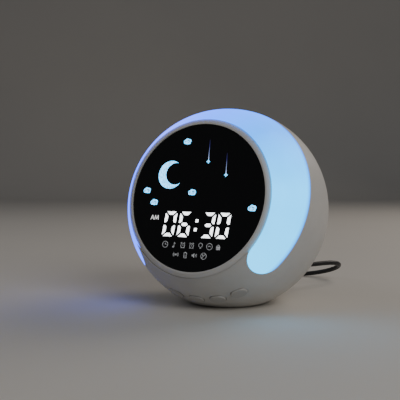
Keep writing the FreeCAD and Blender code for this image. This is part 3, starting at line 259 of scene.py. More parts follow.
class Shader:
    """A material under construction, with short ways to add its nodes."""

    def __init__(self, name: str) -> None:
        """Start a material that has only the standard surface.

        Args:
            name: The material's name.
        """
        self.made = bpy.data.materials.new(name)
        self.made.use_nodes = True
        self.tree = self.made.node_tree
        self.surface = next(n for n in self.tree.nodes if n.type == "BSDF_PRINCIPLED")

    def set(self, **sockets: object) -> None:
        """Set or link sockets of the surface, whose names have low lines for blanks."""
        self.fill(self.surface, sockets)

    def fill(self, node: bpy.types.Node, sockets: dict) -> None:
        """Set a node's sockets to numbers, or link them where the value is another node's socket.

        Args:
            node: The node whose inputs are filled.
            sockets: Values by the input's name, or by its number after a low line.
        """
        for name, value in sockets.items():
            target = node.inputs[int(name[1:])] if name[0] == "_" else node.inputs[name.replace("_", " ")]
            if isinstance(value, Socket):
                self.tree.links.new(value, target)
            else:
                target.default_value = value

    def add(self, kind: str, settings: dict | None = None, output: int = 0, **sockets: object) -> Socket:
        """Add a node.

        Args:
            kind: The node's type without the words ShaderNode.
            settings: Its properties.
            output: Which of its outputs is wanted.
            sockets: Its inputs by name, or by number after a low line.

        Returns:
            The output socket.
        """
        node = self.tree.nodes.new("ShaderNode" + kind)
        for name, value in (settings or {}).items():
            setattr(node, name, value)
        self.fill(node, sockets)
        return node.outputs[output]

    def place(self) -> Socket:
        """Coordinates of the piece itself, in metres."""
        return self.add("TexCoord", output=3)

    def noise(self, size: float, detail: float = 2.0, vector: Socket | None = None) -> Socket:
        """Soft noise whose patches measure a size in millimetres."""
        return self.add("TexNoise", Scale=1 / (size * MM), Detail=detail, Vector=vector or self.place())

    def math(self, operation: str, *values: object) -> Socket:
        """One operation of arithmetic on numbers or sockets."""
        return self.add("Math", {"operation": operation}, **{f"_{i}": v for i, v in enumerate(values)})

    def between(self, value: Socket, low: float, high: float,
                first: float = 0.0, last: float = 1.0) -> Socket:
        """Carry a value from one range to another and stop at its ends."""
        named = {"From_Min": low, "From_Max": high, "To_Min": first, "To_Max": last}
        return self.add("MapRange", {"clamp": True}, Value=value, **named)

    def ramp(self, value: Socket, stops: tuple[tuple[float, Colour], ...]) -> Socket:
        """Colours along a value, blended evenly from each place to the next.

        Args:
            value: What decides the colour.
            stops: Places from 0 to 1 with their colours.

        Returns:
            The colour's socket.
        """
        made = self.add("ValToRGB", Fac=value)
        elements = made.node.color_ramp.elements
        for place, colour in stops[1:-1]:
            elements.new(place).color = (*colour, 1)
        elements[0].position = stops[0][0]
        elements[0].color = (*stops[0][1], 1)
        elements[-1].position = stops[-1][0]
        elements[-1].color = (*stops[-1][1], 1)
        return made

    def bump(self, height: Socket, depth: float) -> None:
        """Raise the surface by a height from 0 to 1, over a depth in millimetres."""
        self.set(Normal=self.add("Bump", Height=height, Distance=depth * MM, Strength=1.0))


def shaded(colour: Colour, share: float) -> Colour:
    """A colour made darker or lighter by a share."""
    return tuple(min(1.0, c * share) for c in colour)


# Where most values of soft noise lie, and how smears compare with patches in size.
NOISE_RANGE = (0.3, 0.7)
SMEAR_SHARE = 0.35
SMEAR_DETAIL = 4.0

# The detail of grain, how brushing draws it out along x, and the gap between copper tracks.
GRAIN_DETAIL = 3.0
BRUSH_SCALE = (0.04, 1.0, 1.0)
TRACK_GAP = 0.12


class Grain(Enum):
    """What the fine texture of a surface looks like."""

    SPARK = "spark eroded"
    BRUSHED = "brushed"
    CELLS = "foam cells"
    TRACKS = "copper tracks"


@dataclass(frozen=True)
class Finish:
    """A surface with its colour, patches, gloss and fine grain.

    Sizes are in millimetres. Patches shade the colour, smears change the gloss, and the grain is raised.
    """

    name: str
    colour: Colour
    roughness: float = 0.5
    patch: float = 18.0
    patch_shade: float = 0.93
    smear: float = 0.06
    grain: Grain = Grain.SPARK
    grain_size: float = 0.35
    grain_depth: float = 0.012
    metallic: float = 0.0
    coat: float = 0.0
    specular: float = 0.5

    def material(self) -> bpy.types.Material:
        """Make the material once, under a name that no slot of the record has.

        Returns:
            The material, new or made before.
        """
        name = "finish_" + self.name
        known = bpy.data.materials.get(name)
        if known:
            return known
        shader = Shader(name)
        self.dress(shader)
        return shader.made

    def dress(self, shader: Shader) -> None:
        """Give the surface its colour, gloss and grain.

        Args:
            shader: The material under construction.
        """
        patches = shader.noise(self.patch)
        low, high = NOISE_RANGE
        stops = ((low, shaded(self.colour, self.patch_shade)), (high, self.colour))
        shader.set(Base_Color=shader.ramp(patches, stops))
        smears = shader.noise(self.patch * SMEAR_SHARE, SMEAR_DETAIL)
        glossy, dull = self.roughness - self.smear, self.roughness + self.smear
        shader.set(Roughness=shader.between(smears, low, high, glossy, dull))
        shader.set(Metallic=self.metallic, Coat_Weight=self.coat, Specular_IOR_Level=self.specular)
        shader.bump(self.height(shader), self.grain_depth)

    def height(self, shader: Shader) -> Socket:
        """Work out the grain.

        Args:
            shader: The material under construction.

        Returns:
            The socket of its height, from 0 to 1.
        """
        if self.grain is Grain.BRUSHED:
            drawn = shader.add("Mapping", Vector=shader.place(), Scale=BRUSH_SCALE)
            return shader.noise(self.grain_size, GRAIN_DETAIL, drawn)
        if self.grain is Grain.CELLS:
            return shader.add("TexVoronoi", Scale=1 / (self.grain_size * MM), Vector=shader.place())
        if self.grain is Grain.TRACKS:
            return shader.add("TexBrick", {"offset": 0.5}, output=1, Scale=1 / (self.grain_size * MM),
                              Mortar_Size=TRACK_GAP, Vector=shader.place())
        return shader.noise(self.grain_size, GRAIN_DETAIL)


@dataclass(frozen=True)
class SmokedLens(Finish):
    """Polished dark acrylic with a few faint smears."""

    smear_detail: float = 5.0
    smear_range: tuple[float, float] = (0.35, 0.75)

    def dress(self, shader: Shader) -> None:
        """Give it an even dark colour and a gloss that smears change a little.

        Args:
            shader: The material under construction.
        """
        smears = shader.noise(self.patch, self.smear_detail)
        dull = self.roughness + self.smear
        shader.set(Base_Color=(*self.colour, 1))
        shader.set(Roughness=shader.between(smears, *self.smear_range, self.roughness, dull))
        shader.set(Coat_Weight=self.coat, Specular_IOR_Level=self.specular)


@dataclass(frozen=True)
class Opal(Finish):
    """Milky plastic lit from behind, whose light turns from lilac to aqua along the crescent.

    The turn is the angle about the face axis from its top, and the edge is the angle from the axis of the
    outer edge, both worked out from the place on the globe.
    """

    strength: float = 1.0
    span: float = 126.0
    edge_angle: float = 74.5
    edge_lift: float = 8.0
    edge_width: float = 3.2
    rim_power: float = 1.6
    rim_tint: Colour = (0.5, 0.30, 0.66)
    clouding: float = 22.0
    clouding_range: tuple[float, float] = (0.25, 0.75)
    clouding_light: tuple[float, float] = (0.94, 1.06)
    light: tuple[tuple[float, Colour], ...] = (
        (0.0, (0.04, 0.12, 0.97)),
        (0.24, (0.05, 0.125, 0.98)),
        (0.38, (0.09, 0.15, 1.0)),
        (0.50, (0.03, 0.15, 0.97)),
        (0.66, (0.0, 0.19, 0.72)),
        (0.82, (0.0, 0.38, 0.84)),
        (1.0, (0.0, 0.42, 0.84)),
    )

    def dress(self, shader: Shader) -> None:
        """Light it by its place along the crescent, paler inside and deeper blue at the outer edge.

        Args:
            shader: The material under construction.
        """
        middle = tuple(c * MM for c in FACE.centre)
        arm = shader.add("VectorMath", {"operation": "SUBTRACT"}, _0=shader.place(), _1=middle)
        way = shader.add("VectorMath", {"operation": "NORMALIZE"}, _0=arm)
        right = shader.add("VectorMath", {"operation": "DOT_PRODUCT"}, output=1, _0=way, _1=(1, 0, 0))
        high = shader.add("VectorMath", {"operation": "DOT_PRODUCT"}, output=1, _0=way, _1=tuple(FACE.up))
        turn = shader.math("ARCTAN2", right, high)
        limit = math.radians(self.span)
        along = shader.between(turn, -limit, limit)
        colour = shader.ramp(along, self.light)
        lift = math.radians(self.edge_lift)
        axis = tuple(FACE.out * math.cos(lift) + FACE.up * math.sin(lift))
        near = shader.add("VectorMath", {"operation": "DOT_PRODUCT"}, output=1, _0=way, _1=axis)
        reach = shader.math("DEGREES", shader.math("ARCCOSINE", near))
        rim = shader.between(reach, self.edge_angle - self.edge_width, self.edge_angle)
        deep = shader.add("Mix", {"data_type": "RGBA", "blend_type": "MULTIPLY"}, output=2,
                          _0=shader.math("POWER", rim, self.rim_power),
                          _6=colour, _7=(*self.rim_tint, 1))
        clouding = shader.noise(self.clouding)
        dimmest, brightest = (self.strength * share for share in self.clouding_light)
        strength = shader.between(clouding, *self.clouding_range, dimmest, brightest)
        shader.set(Base_Color=(*self.colour, 1), Roughness=self.roughness, Specular_IOR_Level=self.specular)
        shader.set(Emission_Color=deep, Emission_Strength=strength)
        shader.bump(shader.noise(self.grain_size, GRAIN_DETAIL), self.grain_depth)


@dataclass(frozen=True)
class Lit(Finish):
    """A figure on the display that shines, with a fine mottle like the mask in front of its lights."""

    colour: Colour = (0.02, 0.02, 0.02)
    light: Colour = (1.0, 1.0, 1.0)
    dim: Colour = (0.7, 0.7, 0.7)
    dot: float = 0.45
    dot_range: tuple[float, float] = (0.38, 0.6)
    strength: float = 1.0

    def dress(self, shader: Shader) -> None:
        """Light it with a mottle between its bright and its dim colour.

        Args:
            shader: The material under construction.
        """
        low, high = self.dot_range
        colour = shader.ramp(shader.noise(self.dot), ((low, self.dim), (high, self.light)))
        shader.set(Base_Color=(*self.colour, 1), Roughness=self.roughness)
        shader.set(Emission_Color=colour, Emission_Strength=self.strength)


@dataclass(frozen=True)
class Trail(Lit):
    """The trail of a shooting star, bright at its head and fading to deep blue."""

    fade: tuple[float, float] = (0.25, 0.7)
    middle_share: float = 0.3
    end_share: float = 0.2

    def dress(self, shader: Shader) -> None:
        """Light it by the way along it, which is the first number of its UV map.

        Args:
            shader: The material under construction.
        """
        along = shader.add("SeparateXYZ", Vector=shader.add("UVMap", {"uv_map": "along"}))
        middle, end = shaded(self.light, self.middle_share), shaded(self.dim, self.end_share)
        near, far = self.fade
        stops = ((0.0, self.light), (near, middle), (far, self.dim), (1.0, end))
        shader.set(Base_Color=(*self.colour, 1), Roughness=self.roughness)
        shader.set(Emission_Color=shader.ramp(along, stops), Emission_Strength=self.strength)


SHELL = Finish("shell_plastic", (0.62, 0.605, 0.58), roughness=0.52, grain_size=0.5, grain_depth=0.010)
BEZEL = Finish("bezel_plastic", (0.68, 0.666, 0.645), roughness=0.40, grain_size=0.3, grain_depth=0.005)
# The buttons are moulded in the shell's plastic; their colour is darker than the shell's as painted shade,
# so their faces look as shaded as the shell around them.
BUTTON_SHADED = Finish("button_plastic", (0.50, 0.487, 0.465), roughness=0.42, grain_size=0.3, grain_depth=0.006)
# Painted shade: the dark colour of the ring along the seam stands for the shadow in the gap between the
# shells.
SEAM_SHADE = Finish("seam_shadow", (0.16, 0.156, 0.15), roughness=0.8)
LENS = SmokedLens("smoked_acrylic", (0.0045, 0.0045, 0.0048), roughness=0.05, patch=30.0, specular=0.4)
DIFFUSER = Opal("opal_diffuser", (0.06, 0.09, 0.14), roughness=0.45, grain_size=0.4, grain_depth=0.006,
                specular=0.2, strength=4.0)
BLACK = Finish("black_moulding", (0.020, 0.020, 0.022), roughness=0.55)
LAMINATE = Finish("board_laminate", (0.012, 0.115, 0.045), roughness=0.38, grain=Grain.TRACKS,
                  grain_size=2.4, grain_depth=0.05, coat=0.3)
STRIP = Finish("strip_film", (0.78, 0.78, 0.74), roughness=0.35, grain=Grain.TRACKS, grain_size=3.0)
CHIP = Finish("chip_moulding", (0.025, 0.025, 0.028), roughness=0.48, grain_size=0.2)
RIBBON = Finish("ribbon_film", (0.50, 0.19, 0.03), roughness=0.22, coat=0.5, grain=Grain.BRUSHED,
                grain_size=0.8)
STEEL = Finish("zinc_plate", (0.55, 0.55, 0.56), roughness=0.30, metallic=1.0, grain=Grain.BRUSHED,
               grain_size=0.2, grain_depth=0.004)
COATED = Finish("coated_steel", (0.035, 0.035, 0.037), roughness=0.42, grain_size=0.25, coat=0.2)
FERRITE = Finish("ferrite", (0.045, 0.045, 0.048), roughness=0.62, grain=Grain.BRUSHED, grain_size=0.5)
PAPER = Finish("pressed_paper", (0.035, 0.034, 0.033), roughness=0.85, grain_size=0.6, grain_depth=0.05)
FOAM = Finish("foam_rubber", (0.022, 0.022, 0.023), roughness=0.9, grain=Grain.CELLS, grain_size=0.5,
              grain_depth=0.08)
WRAP = Finish("cell_wrap", (0.03, 0.12, 0.42), roughness=0.24, coat=0.4, grain_size=1.5, grain_depth=0.01)
RUBBER = Finish("foot_rubber", (0.030, 0.030, 0.031), roughness=0.78, grain_size=0.3, grain_depth=0.03)
CABLE = Finish("cable_rubber", (0.010, 0.010, 0.011), roughness=0.46, patch=9.0, smear=0.08,
               grain_size=0.25)
CONTACT = Finish("plated_contact", (0.72, 0.70, 0.66), roughness=0.22, metallic=1.0, grain=Grain.BRUSHED,
                 grain_size=0.15, grain_depth=0.003)
WHITE_LIGHT = Lit("white_light", dim=(0.42, 0.46, 0.50), strength=5.0)
LETTER_LIGHT = Lit("letter_light", strength=1.5)
FAINT_LIGHT = Lit("faint_light", light=(0.36, 0.37, 0.38), dim=(0.15, 0.15, 0.16), dot=0.6)
ICE_LIGHT = Lit("ice_light", light=(0.12, 0.54, 1.0), dim=(0.04, 0.26, 0.50), dot=0.8, strength=4.7)
CHIP_LIGHT = Lit("chip_light", light=(0.3, 0.6, 1.0), dim=(0.1, 0.3, 0.8), strength=2.0)
TRAIL_LIGHT = Trail("trail_light", light=(0.43, 0.57, 1.0), dim=(0.012, 0.010, 0.075), strength=4.0)


def dress(finish: Finish, *names: str) -> None:
    """Give CAD nodes a finish.

    Args:
        finish: The surface that they get.
        names: The nodes.
    """
    for name in names:
        mesh = NODES[name].data
        mesh.materials.clear()
        mesh.materials.append(finish.material())
        log.info("dressed %s in %s", name, finish.name)


def smooth_piece(name: str, spots: Array, quads: Array, finish: Finish) -> bpy.types.Object:
    """Make a smooth mesh in a finish.

    Args:
        name: The name of the piece and of its mesh.
        spots: Rows of x, y and z in metres.
        quads: Rows of four corner numbers.
        finish: The surface that it gets.

    Returns:
        The new object.
    """
    mesh = bpy.data.meshes.new(name)
    mesh.from_pydata(spots.tolist(), [], quads.tolist())
    mesh.shade_smooth()
    mesh.materials.append(finish.material())
    log.info("made %s with %d faces", name, len(mesh.polygons))
    return linked(name, mesh)


# Sub-assemblies.

@dataclass
class Housing:
    """Both shells and the painted shade of the line where they meet, the bezel, the foot and the screws, in
    millimetres.
    """

    globe_radius: float = 65.0
    seam_behind: float = 37.5
    seam_line: float = 0.13
    seam_sides: int = 192
    line_sides: int = 6

    def build(self) -> None:
        """Dress the pieces of the housing and paint the shade of its seam as a dark ring."""
        dress(SHELL, "front_shell", "rear_shell")
        dress(BEZEL, "bezel_ring")
        dress(RUBBER, "foot_pad")
        dress(STEEL, "rear_screws", "main_board_screws", "display_board_screws")
        self.seam()

    def seam(self) -> None:
        """Make the seam's painted shade: a thin dark ring on the globe, standing for the shadow in the gap
        where the shells meet.

        Its radius is the root of the globe's radius squared less the seam's depth squared, and its section
        is a small regular figure with line_sides corners.
        """
        radius = math.sqrt(self.globe_radius ** 2 - self.seam_behind ** 2)
        around = np.linspace(0, 2 * math.pi, self.seam_sides + 1)[:-1, None]
        section = np.linspace(0, 2 * math.pi, self.line_sides + 1)[None, :-1]
        reach = radius + self.seam_line * np.cos(section)
        flat = np.stack([reach * np.cos(around), reach * np.sin(around)], axis=-1).reshape(-1, 2)
        depth = np.tile(self.seam_line * np.sin(section[0]) - self.seam_behind, around.size)
        spots = FACE.place(flat, depth - FACE.lens_front)
        quads = rows_of_quads(around.size, section.size, True, True)
        made = smooth_piece("shell_seam_shade", spots, quads, SEAM_SHADE)
        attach(made, HOUSING)


@dataclass
class NightLight:
    """The crescent diffuser and the lit strip behind it."""

    def build(self) -> None:
        """Dress the night light."""
        dress(DIFFUSER, "crescent_diffuser")
        dress(STRIP, "light_strip")
        dress(CHIP_LIGHT, "light_strip_leds")


@dataclass
class Numerals:
    """Slanted figures of seven bars and their colon, in millimetres on the face."""

    lefts: tuple[float, ...] = (-21.3, -10.9, 5.3, 15.3)
    values: tuple[int, ...] = (0, 6, 3, 0)
    foot: float = -24.5
    height: float = 15.2
    width: float = 8.1
    stroke: float = 1.95
    gap: float = 0.90
    chamfer: float = 0.55
    slant: float = math.tan(math.radians(5.5))
    colon_x: float = 2.1
    colon_half: tuple[float, float] = (0.9, 0.9)
    colon_shares: tuple[float, float] = (0.31, 0.66)
    bars_of: tuple[str, ...] = (
        "abcdef", "bc", "abged", "abgcd", "fgbc", "afgcd", "afgedc", "abc", "abcdefg", "abcdfg",
    )

    def bars(self) -> dict[str, Array]:
        """Work out the seven bars of a figure, upright, with slanted ends that leave gaps between them.

        Returns:
            The outline of each bar by its letter, measured from the left foot of the figure.
        """
        w, h, s, g = self.width, self.height, self.stroke, self.gap
        m = h / 2
        top = np.array([[g, h], [w - g, h], [w - g - s, h - s], [g + s, h - s]])
        middle = np.array([[g + s / 2, m], [g + s, m + s / 2], [w - g - s, m + s / 2],
                           [w - g - s / 2, m], [w - g - s, m - s / 2], [g + s, m - s / 2]])
        left = np.array([[0, h - g], [0, m + g], [s * self.chamfer, m + g],
                         [s, m + g + s / 2], [s, h - g - s]])
        flip_x = np.array([-1.0, 1.0])
        flip_y = np.array([1.0, -1.0])
        across = np.array([w, 0.0])
        under = np.array([0.0, h])
        upper_right = (left * flip_x + across)[::-1]
        return {"a": top[::-1], "g": middle[::-1], "f": left, "b": upper_right, "d": top * flip_y + under,
                "e": (left * flip_y + under)[::-1], "c": (upper_right * flip_y + under)[::-1]}

    def build(self) -> None:
        """Make the time as one lit piece, with every lit bar and the colon."""
        relief = Relief("display_numerals")
        bars = self.bars()
        for left, value in zip(self.lefts, self.values):
            for letter in self.bars_of[value]:
                outline = bars[letter] + np.array([left, 0.0])
                relief.plate(self.lean(outline))
        for share in self.colon_shares:
            half_x, half_y = self.colon_half
            middle = np.array([self.colon_x - self.slant * self.height / 2, self.height * share])
            corners = np.array([[-half_x, -half_y], [half_x, -half_y], [half_x, half_y], [-half_x, half_y]])
            relief.plate(self.lean(corners + middle))
        relief.piece(WHITE_LIGHT, "display_light")

    def lean(self, outline: Array) -> Array:
        """Slant an outline by its height above the foot and set it at the foot's level."""
        return np.column_stack([outline[:, 0] + self.slant * outline[:, 1], outline[:, 1] + self.foot])


@dataclass(frozen=True)
class Curl:
    """A dark curl on a cloud: its middle from the cloud's, its arc in degrees and its line's width."""

    shift: Spot
    radius: float
    start: float
    end: float
    points: int
    width: float


@dataclass
class NightSky:
    """A moon, small clouds and two shooting stars above the time, in millimetres on the face."""

    moon_centre: Spot = (-19.6, 13.7)
    moon_radius: float = 8.8
    moon_turn: float = 10.0
    moon_opening: float = 46.0
    moon_thickness: float = 5.4
    moon_tip: float = 0.15
    moon_points: int = 64
    cloud_sides: int = 72
    clouds: tuple[Spot, ...] = ((-10.1, 34.5), (-35.7, 3.6), (-29.5, -3.8), (-3.1, 2.7), (37.7, -6.1))
    puffs: tuple[tuple[float, float, float], ...] = (
        (-1.3, -0.1, 1.35), (-0.2, 0.6, 1.45), (1.2, 0.35, 1.35),
        (0.4, -0.35, 1.3), (-0.5, -0.4, 1.15), (1.6, -1.0, 0.6),
    )
    curls: tuple[Curl, ...] = (
        Curl((0.6, 0.0), 0.70, -100, 170, 16, 0.40),
        Curl((-1.3, -0.2), 0.5, 30, 250, 12, 0.32),
    )
    stars: tuple[tuple[float, float, float, float], ...] = (
        (5.9, 21.8, 5.6, 35.3), (18.6, 13.5, 18.1, 27.0),
    )
    star_radius: float = 1.0
    star_waist: float = 0.72
    star_swell: float = 0.5
    star_sides: int = 40
    trail_points: int = 24
    trail_widths: tuple[float, float] = (0.26, 0.18)

    def moon(self) -> None:
        """Make the moon: a band between two arcs that meet at its tips, which stay a little blunt.

        The inner arc's depth is measured from the line between the tips to the moon's thick middle. Its
        radius is the squared half of that line plus the squared depth, over twice the depth.
        """
        centre = np.array(self.moon_centre)
        turn = math.radians(self.moon_turn)
        way = np.array([math.cos(turn), math.sin(turn)])
        opening = math.radians(self.moon_opening)
        reach = self.moon_radius * math.cos(opening)
        half = self.moon_radius * math.sin(opening)
        deep = reach + self.moon_radius - self.moon_thickness
        inner_radius = (half ** 2 + deep ** 2) / (2 * deep)
        inner_centre = centre + way * (reach - deep + inner_radius)
        inner_open = math.degrees(math.atan2(half, deep - inner_radius))
        start, end = self.moon_turn + self.moon_opening, self.moon_turn + 360 - self.moon_opening
        outer = arc_points(tuple(centre), self.moon_radius, start, end, self.moon_points)
        inside = self.moon_turn + inner_open
        beyond = 2 * self.moon_turn + 360 - inside
        inner = arc_points(tuple(inner_centre), inner_radius, inside, beyond, self.moon_points)
        inner[0] = outer[0] + (inner[1] - outer[1]) * self.moon_tip
        inner[-1] = outer[-1] + (inner[-2] - outer[-2]) * self.moon_tip
        relief = Relief("display_moon")
        relief.band(inner, outer)
        relief.piece(ICE_LIGHT, "display_light")

    def cloud_outline(self, spot: Spot) -> Array:
        """A cloud: round puffs seen from their middle.

        Args:
            spot: The middle of the cloud.

        Returns:
            The farthest place along each ray that is still in one of the puffs. A ray leaves a puff past
            the place nearest to the puff's middle, by the root of the puff's radius squared less the squared
            distance between that middle and the ray.
        """
        turn = np.linspace(0, 2 * math.pi, self.cloud_sides + 1)[:-1]
        ray = np.column_stack([np.cos(turn), np.sin(turn)])
        puffs = np.array(self.puffs)
        share = ray @ puffs[:, :2].T
        off = (puffs[:, :2] ** 2).sum(axis=1) - share ** 2
        reach = share + np.sqrt(np.clip(puffs[:, 2] ** 2 - off, 0, None))
        reach[puffs[:, 2] ** 2 < off] = 0
        return np.array(spot) + ray * reach.max(axis=1)[:, None]

    def build(self) -> None:
        """Make the moon, the clouds with their curls, and the stars with their trails."""
        self.moon()
        clouds, curls = Relief("display_clouds"), Relief("display_cloud_curls", height=0.14)
        for x, y in self.clouds:
            clouds.plate(self.cloud_outline((x, y)))
            for curl in self.curls:
                middle = (x + curl.shift[0], y + curl.shift[1])
                arc = arc_points(middle, curl.radius, curl.start, curl.end, curl.points)
                curls.stroke(arc, curl.width)
        clouds.piece(ICE_LIGHT, "display_light")
        curls.piece(LENS, "smoked_lens")
        heads, trails = Relief("display_stars"), Relief("display_star_trails", height=0.06)
        for x, y, end_x, end_y in self.stars:
            heads.plate(self.star_outline(x, y))
            path = np.linspace((x, y), (end_x, end_y), self.trail_points)
            trails.stroke(path, np.linspace(*self.trail_widths, self.trail_points))
        heads.piece(ICE_LIGHT, "display_light")
        trails.piece(TRAIL_LIGHT, "display_light")

    def star_outline(self, x: float, y: float) -> Array:
        """Work out a soft star.

        The radius is the star's own times a sum: its waist, plus its swell times the fourth power of the
        cosine of twice the angle.

        Args:
            x: The middle, to the right.
            y: The middle, upwards.

        Returns:
            The points round it.
        """
        turn = np.linspace(0, 2 * math.pi, self.star_sides + 1)[:-1]
        radius = self.star_radius * (self.star_waist + self.star_swell * np.cos(2 * turn) ** 4)
        return np.column_stack([x + radius * np.cos(turn), y + radius * np.sin(turn)])


@dataclass(frozen=True)
class Pen:
    """Draws a small figure about its middle, in lines of one width or a share of it."""

    relief: Relief
    middle: Spot
    width: float

    def at(self, spot: Spot) -> Spot:
        """The place on the face of a spot counted from the middle."""
        return self.middle[0] + spot[0], self.middle[1] + spot[1]

    def line(self, start: Spot, end: Spot, share: float = 1.0) -> None:
        """Draw a straight line."""
        self.relief.line(self.at(start), self.at(end), self.width * share)

    def ring(self, centre: Spot, radius: float) -> None:
        """Draw a whole round line."""
        self.relief.ring(self.at(centre), radius, self.width)

    def arc(self, centre: Spot, radius: float, start: float, end: float, count: int,
            share: float = 1.0) -> None:
        """Draw part of a round line, between two angles in degrees."""
        self.relief.stroke(arc_points(self.at(centre), radius, start, end, count), self.width * share)

    def dot(self, centre: Spot, radius: float) -> None:
        """Draw a round spot."""
        self.relief.dot(self.at(centre), radius)

    def plate(self, outline: Array) -> None:
        """Fill an outline."""
        self.relief.plate(outline + self.middle)


@dataclass
class Symbols:
    """The small marks under the time and the half of the day beside it, in millimetres on the face."""

    row_levels: tuple[float, float] = (-29.5, -35.3)
    first_row: tuple[float, ...] = (-18.1, -11.9, -5.7, 0.4, 6.5, 12.5, 18.3)
    second_row: tuple[float, ...] = (-9.9, -3.3, 2.8, 9.2)
    line: float = 0.30
    thin_share: float = 0.8
    fine_share: float = 0.9
    bold_share: float = 1.2
    letters: Spot = (-30.6, -14.6)
    letter_height: float = 2.8
    letter_line: float = 0.30
    a_peak: float = 1.15
    a_width: float = 2.3
    a_bar: tuple[float, float, float] = (0.5, 1.8, 0.95)
    m_across: tuple[float, ...] = (2.9, 3.2, 4.2, 5.3, 5.5)
    m_dip: float = 0.4

    def build(self) -> None:
        """Make both rows of marks, and the letters, as lit pieces."""
        relief = Relief("display_symbols")
        makers = (self.clock, self.note, self.alarm, self.alarm, self.bulb, self.snooze, self.lock)
        for x, maker in zip(self.first_row, makers):
            maker(Pen(relief, (x, self.row_levels[0]), self.line))
        makers = (self.waves, self.cell, self.horn, self.muted)
        for x, maker in zip(self.second_row, makers):
            maker(Pen(relief, (x, self.row_levels[1]), self.line))
        relief.piece(FAINT_LIGHT, "display_light")
        marks = Relief("display_half_day")
        self.half_day(Pen(marks, self.letters, self.letter_line))
        marks.piece(LETTER_LIGHT, "display_light")

    def half_day(self, pen: Pen) -> None:
        """Draw the letters A and M with straight strokes.

        Args:
            pen: The pen, at the left foot of the A.
        """
        top = self.letter_height
        bar_start, bar_end, bar_level = self.a_bar
        pen.line((0, 0), (self.a_peak, top))
        pen.line((self.a_peak, top), (self.a_width, 0))
        pen.line((bar_start, bar_level), (bar_end, bar_level), self.thin_share)
        corners = tuple(zip(self.m_across, (0, top, self.m_dip, top, 0)))
        for start, end in zip(corners[:-1], corners[1:]):
            pen.line(start, end)

    def clock(self, pen: Pen) -> None:
        """Draw a round dial with two hands.

        Args:
            pen: The pen, at the figure's middle.
        """
        pen.ring((0, 0), 1.85)
        pen.line((0, -0.1), (0, 1.1))
        pen.line((0, 0), (0.95, 0))

    def note(self, pen: Pen) -> None:
        """Draw a note of music.

        Args:
            pen: The pen, at the figure's middle.
        """
        pen.dot((-0.35, -1.2), 0.62)
        pen.line((0.15, -1.2), (0.15, 1.6))
        pen.line((0.15, 1.5), (0.95, 0.7))

    def alarm(self, pen: Pen) -> None:
        """Draw a dial with two bells and two feet.

        Args:
            pen: The pen, at the figure's middle.
        """
        pen.ring((0, -0.2), 1.35)
        for side in (-1, 1):
            pen.line((side * 0.7, 1.75), (side * 1.5, 1.15), self.bold_share)
            pen.line((side * 0.9, -1.3), (side * 1.3, -1.75))
        pen.line((0, -0.3), (0, 0.55), self.thin_share)
        pen.line((0, -0.25), (0.55, -0.25), self.thin_share)

    def bulb(self, pen: Pen) -> None:
        """Draw a lamp bulb over its cap.

        Args:
            pen: The pen, at the figure's middle.
        """
        pen.arc((0, 0.55), 1.25, -55, 235, 28)
        pen.line((-0.6, -0.75), (0.6, -0.75))
        pen.line((-0.5, -1.35), (0.5, -1.35))

    def snooze(self, pen: Pen) -> None:
        """Draw a ring round a small arch."""
        pen.ring((0, 0), 1.9)
        pen.arc((0, -0.55), 0.85, 20, 160, 12)

    def lock(self, pen: Pen) -> None:
        """Draw a padlock."""
        pen.plate(np.array([[-1.3, -1.7], [1.3, -1.7], [1.3, 0.35], [-1.3, 0.35]]))
        pen.arc((0, 0.4), 0.8, -10, 190, 16, self.bold_share)

    def waves(self, pen: Pen) -> None:
        """Draw a spot between two pairs of arcs.

        Args:
            pen: The pen, at the figure's middle.
        """
        pen.dot((0, 0), 0.55)
        for radius in (1.15, 1.8):
            pen.arc((0, 0), radius, -40, 40, 10, self.fine_share)
            pen.arc((0, 0), radius, 140, 220, 10, self.fine_share)

    def cell(self, pen: Pen) -> None:
        """Draw a battery with two bars of charge.

        Args:
            pen: The pen, at the figure's middle.
        """
        corners = ((-0.9, -1.7), (0.9, -1.7), (0.9, 1.3), (-0.9, 1.3), (-0.9, -1.7))
        for start, end in zip(corners[:-1], corners[1:]):
            pen.line(start, end)
        for level in (1.65, -0.95, -0.1):
            pen.line((-0.45, level), (0.45, level))

    def horn(self, pen: Pen) -> None:
        """Draw a loudspeaker with two arcs of sound.

        Args:
            pen: The pen, at the figure's middle.
        """
        lower = np.array([[-1.6, -0.55], [-0.8, -0.55], [0.1, -1.4]])
        pen.plate(np.vstack([lower, lower[::-1] * [1, -1]]))
        for radius in (0.9, 1.6):
            pen.arc((0.1, 0), radius, -38, 38, 10, self.fine_share)

    def muted(self, pen: Pen) -> None:
        """Draw a ring with a slash.

        Args:
            pen: The pen, at the figure's middle.
        """
        pen.ring((0, 0), 1.85)
        pen.line((-1.2, -1.2), (1.2, 1.2))
        pen.dot((-0.6, 0.6), 0.4)


@dataclass
class Display:
    """The dark lens, the lit figures that show on it and the light cells behind."""

    numerals: Numerals = field(default_factory=Numerals)
    sky: NightSky = field(default_factory=NightSky)
    symbols: Symbols = field(default_factory=Symbols)

    def build(self) -> None:
        """Dress the display and make its figures."""
        dress(LENS, "display_lens")
        dress(BLACK, "light_cell_block")
        dress(CHIP_LIGHT, "display_leds")
        dress(LAMINATE, "display_board")
        self.numerals.build()
        self.sky.build()
        self.symbols.build()


@dataclass
class Keys:
    """Four push buttons with their switches on one board."""

    places: tuple[str, ...] = ("left_outer", "left_inner", "right_inner", "right_outer")

    def build(self) -> None:
        """Dress the keys."""
        for place in self.places:
            dress(BUTTON_SHADED, "button_" + place, "plunger_" + place)
        dress(LAMINATE, "key_board")
        dress(STEEL, "key_switches")


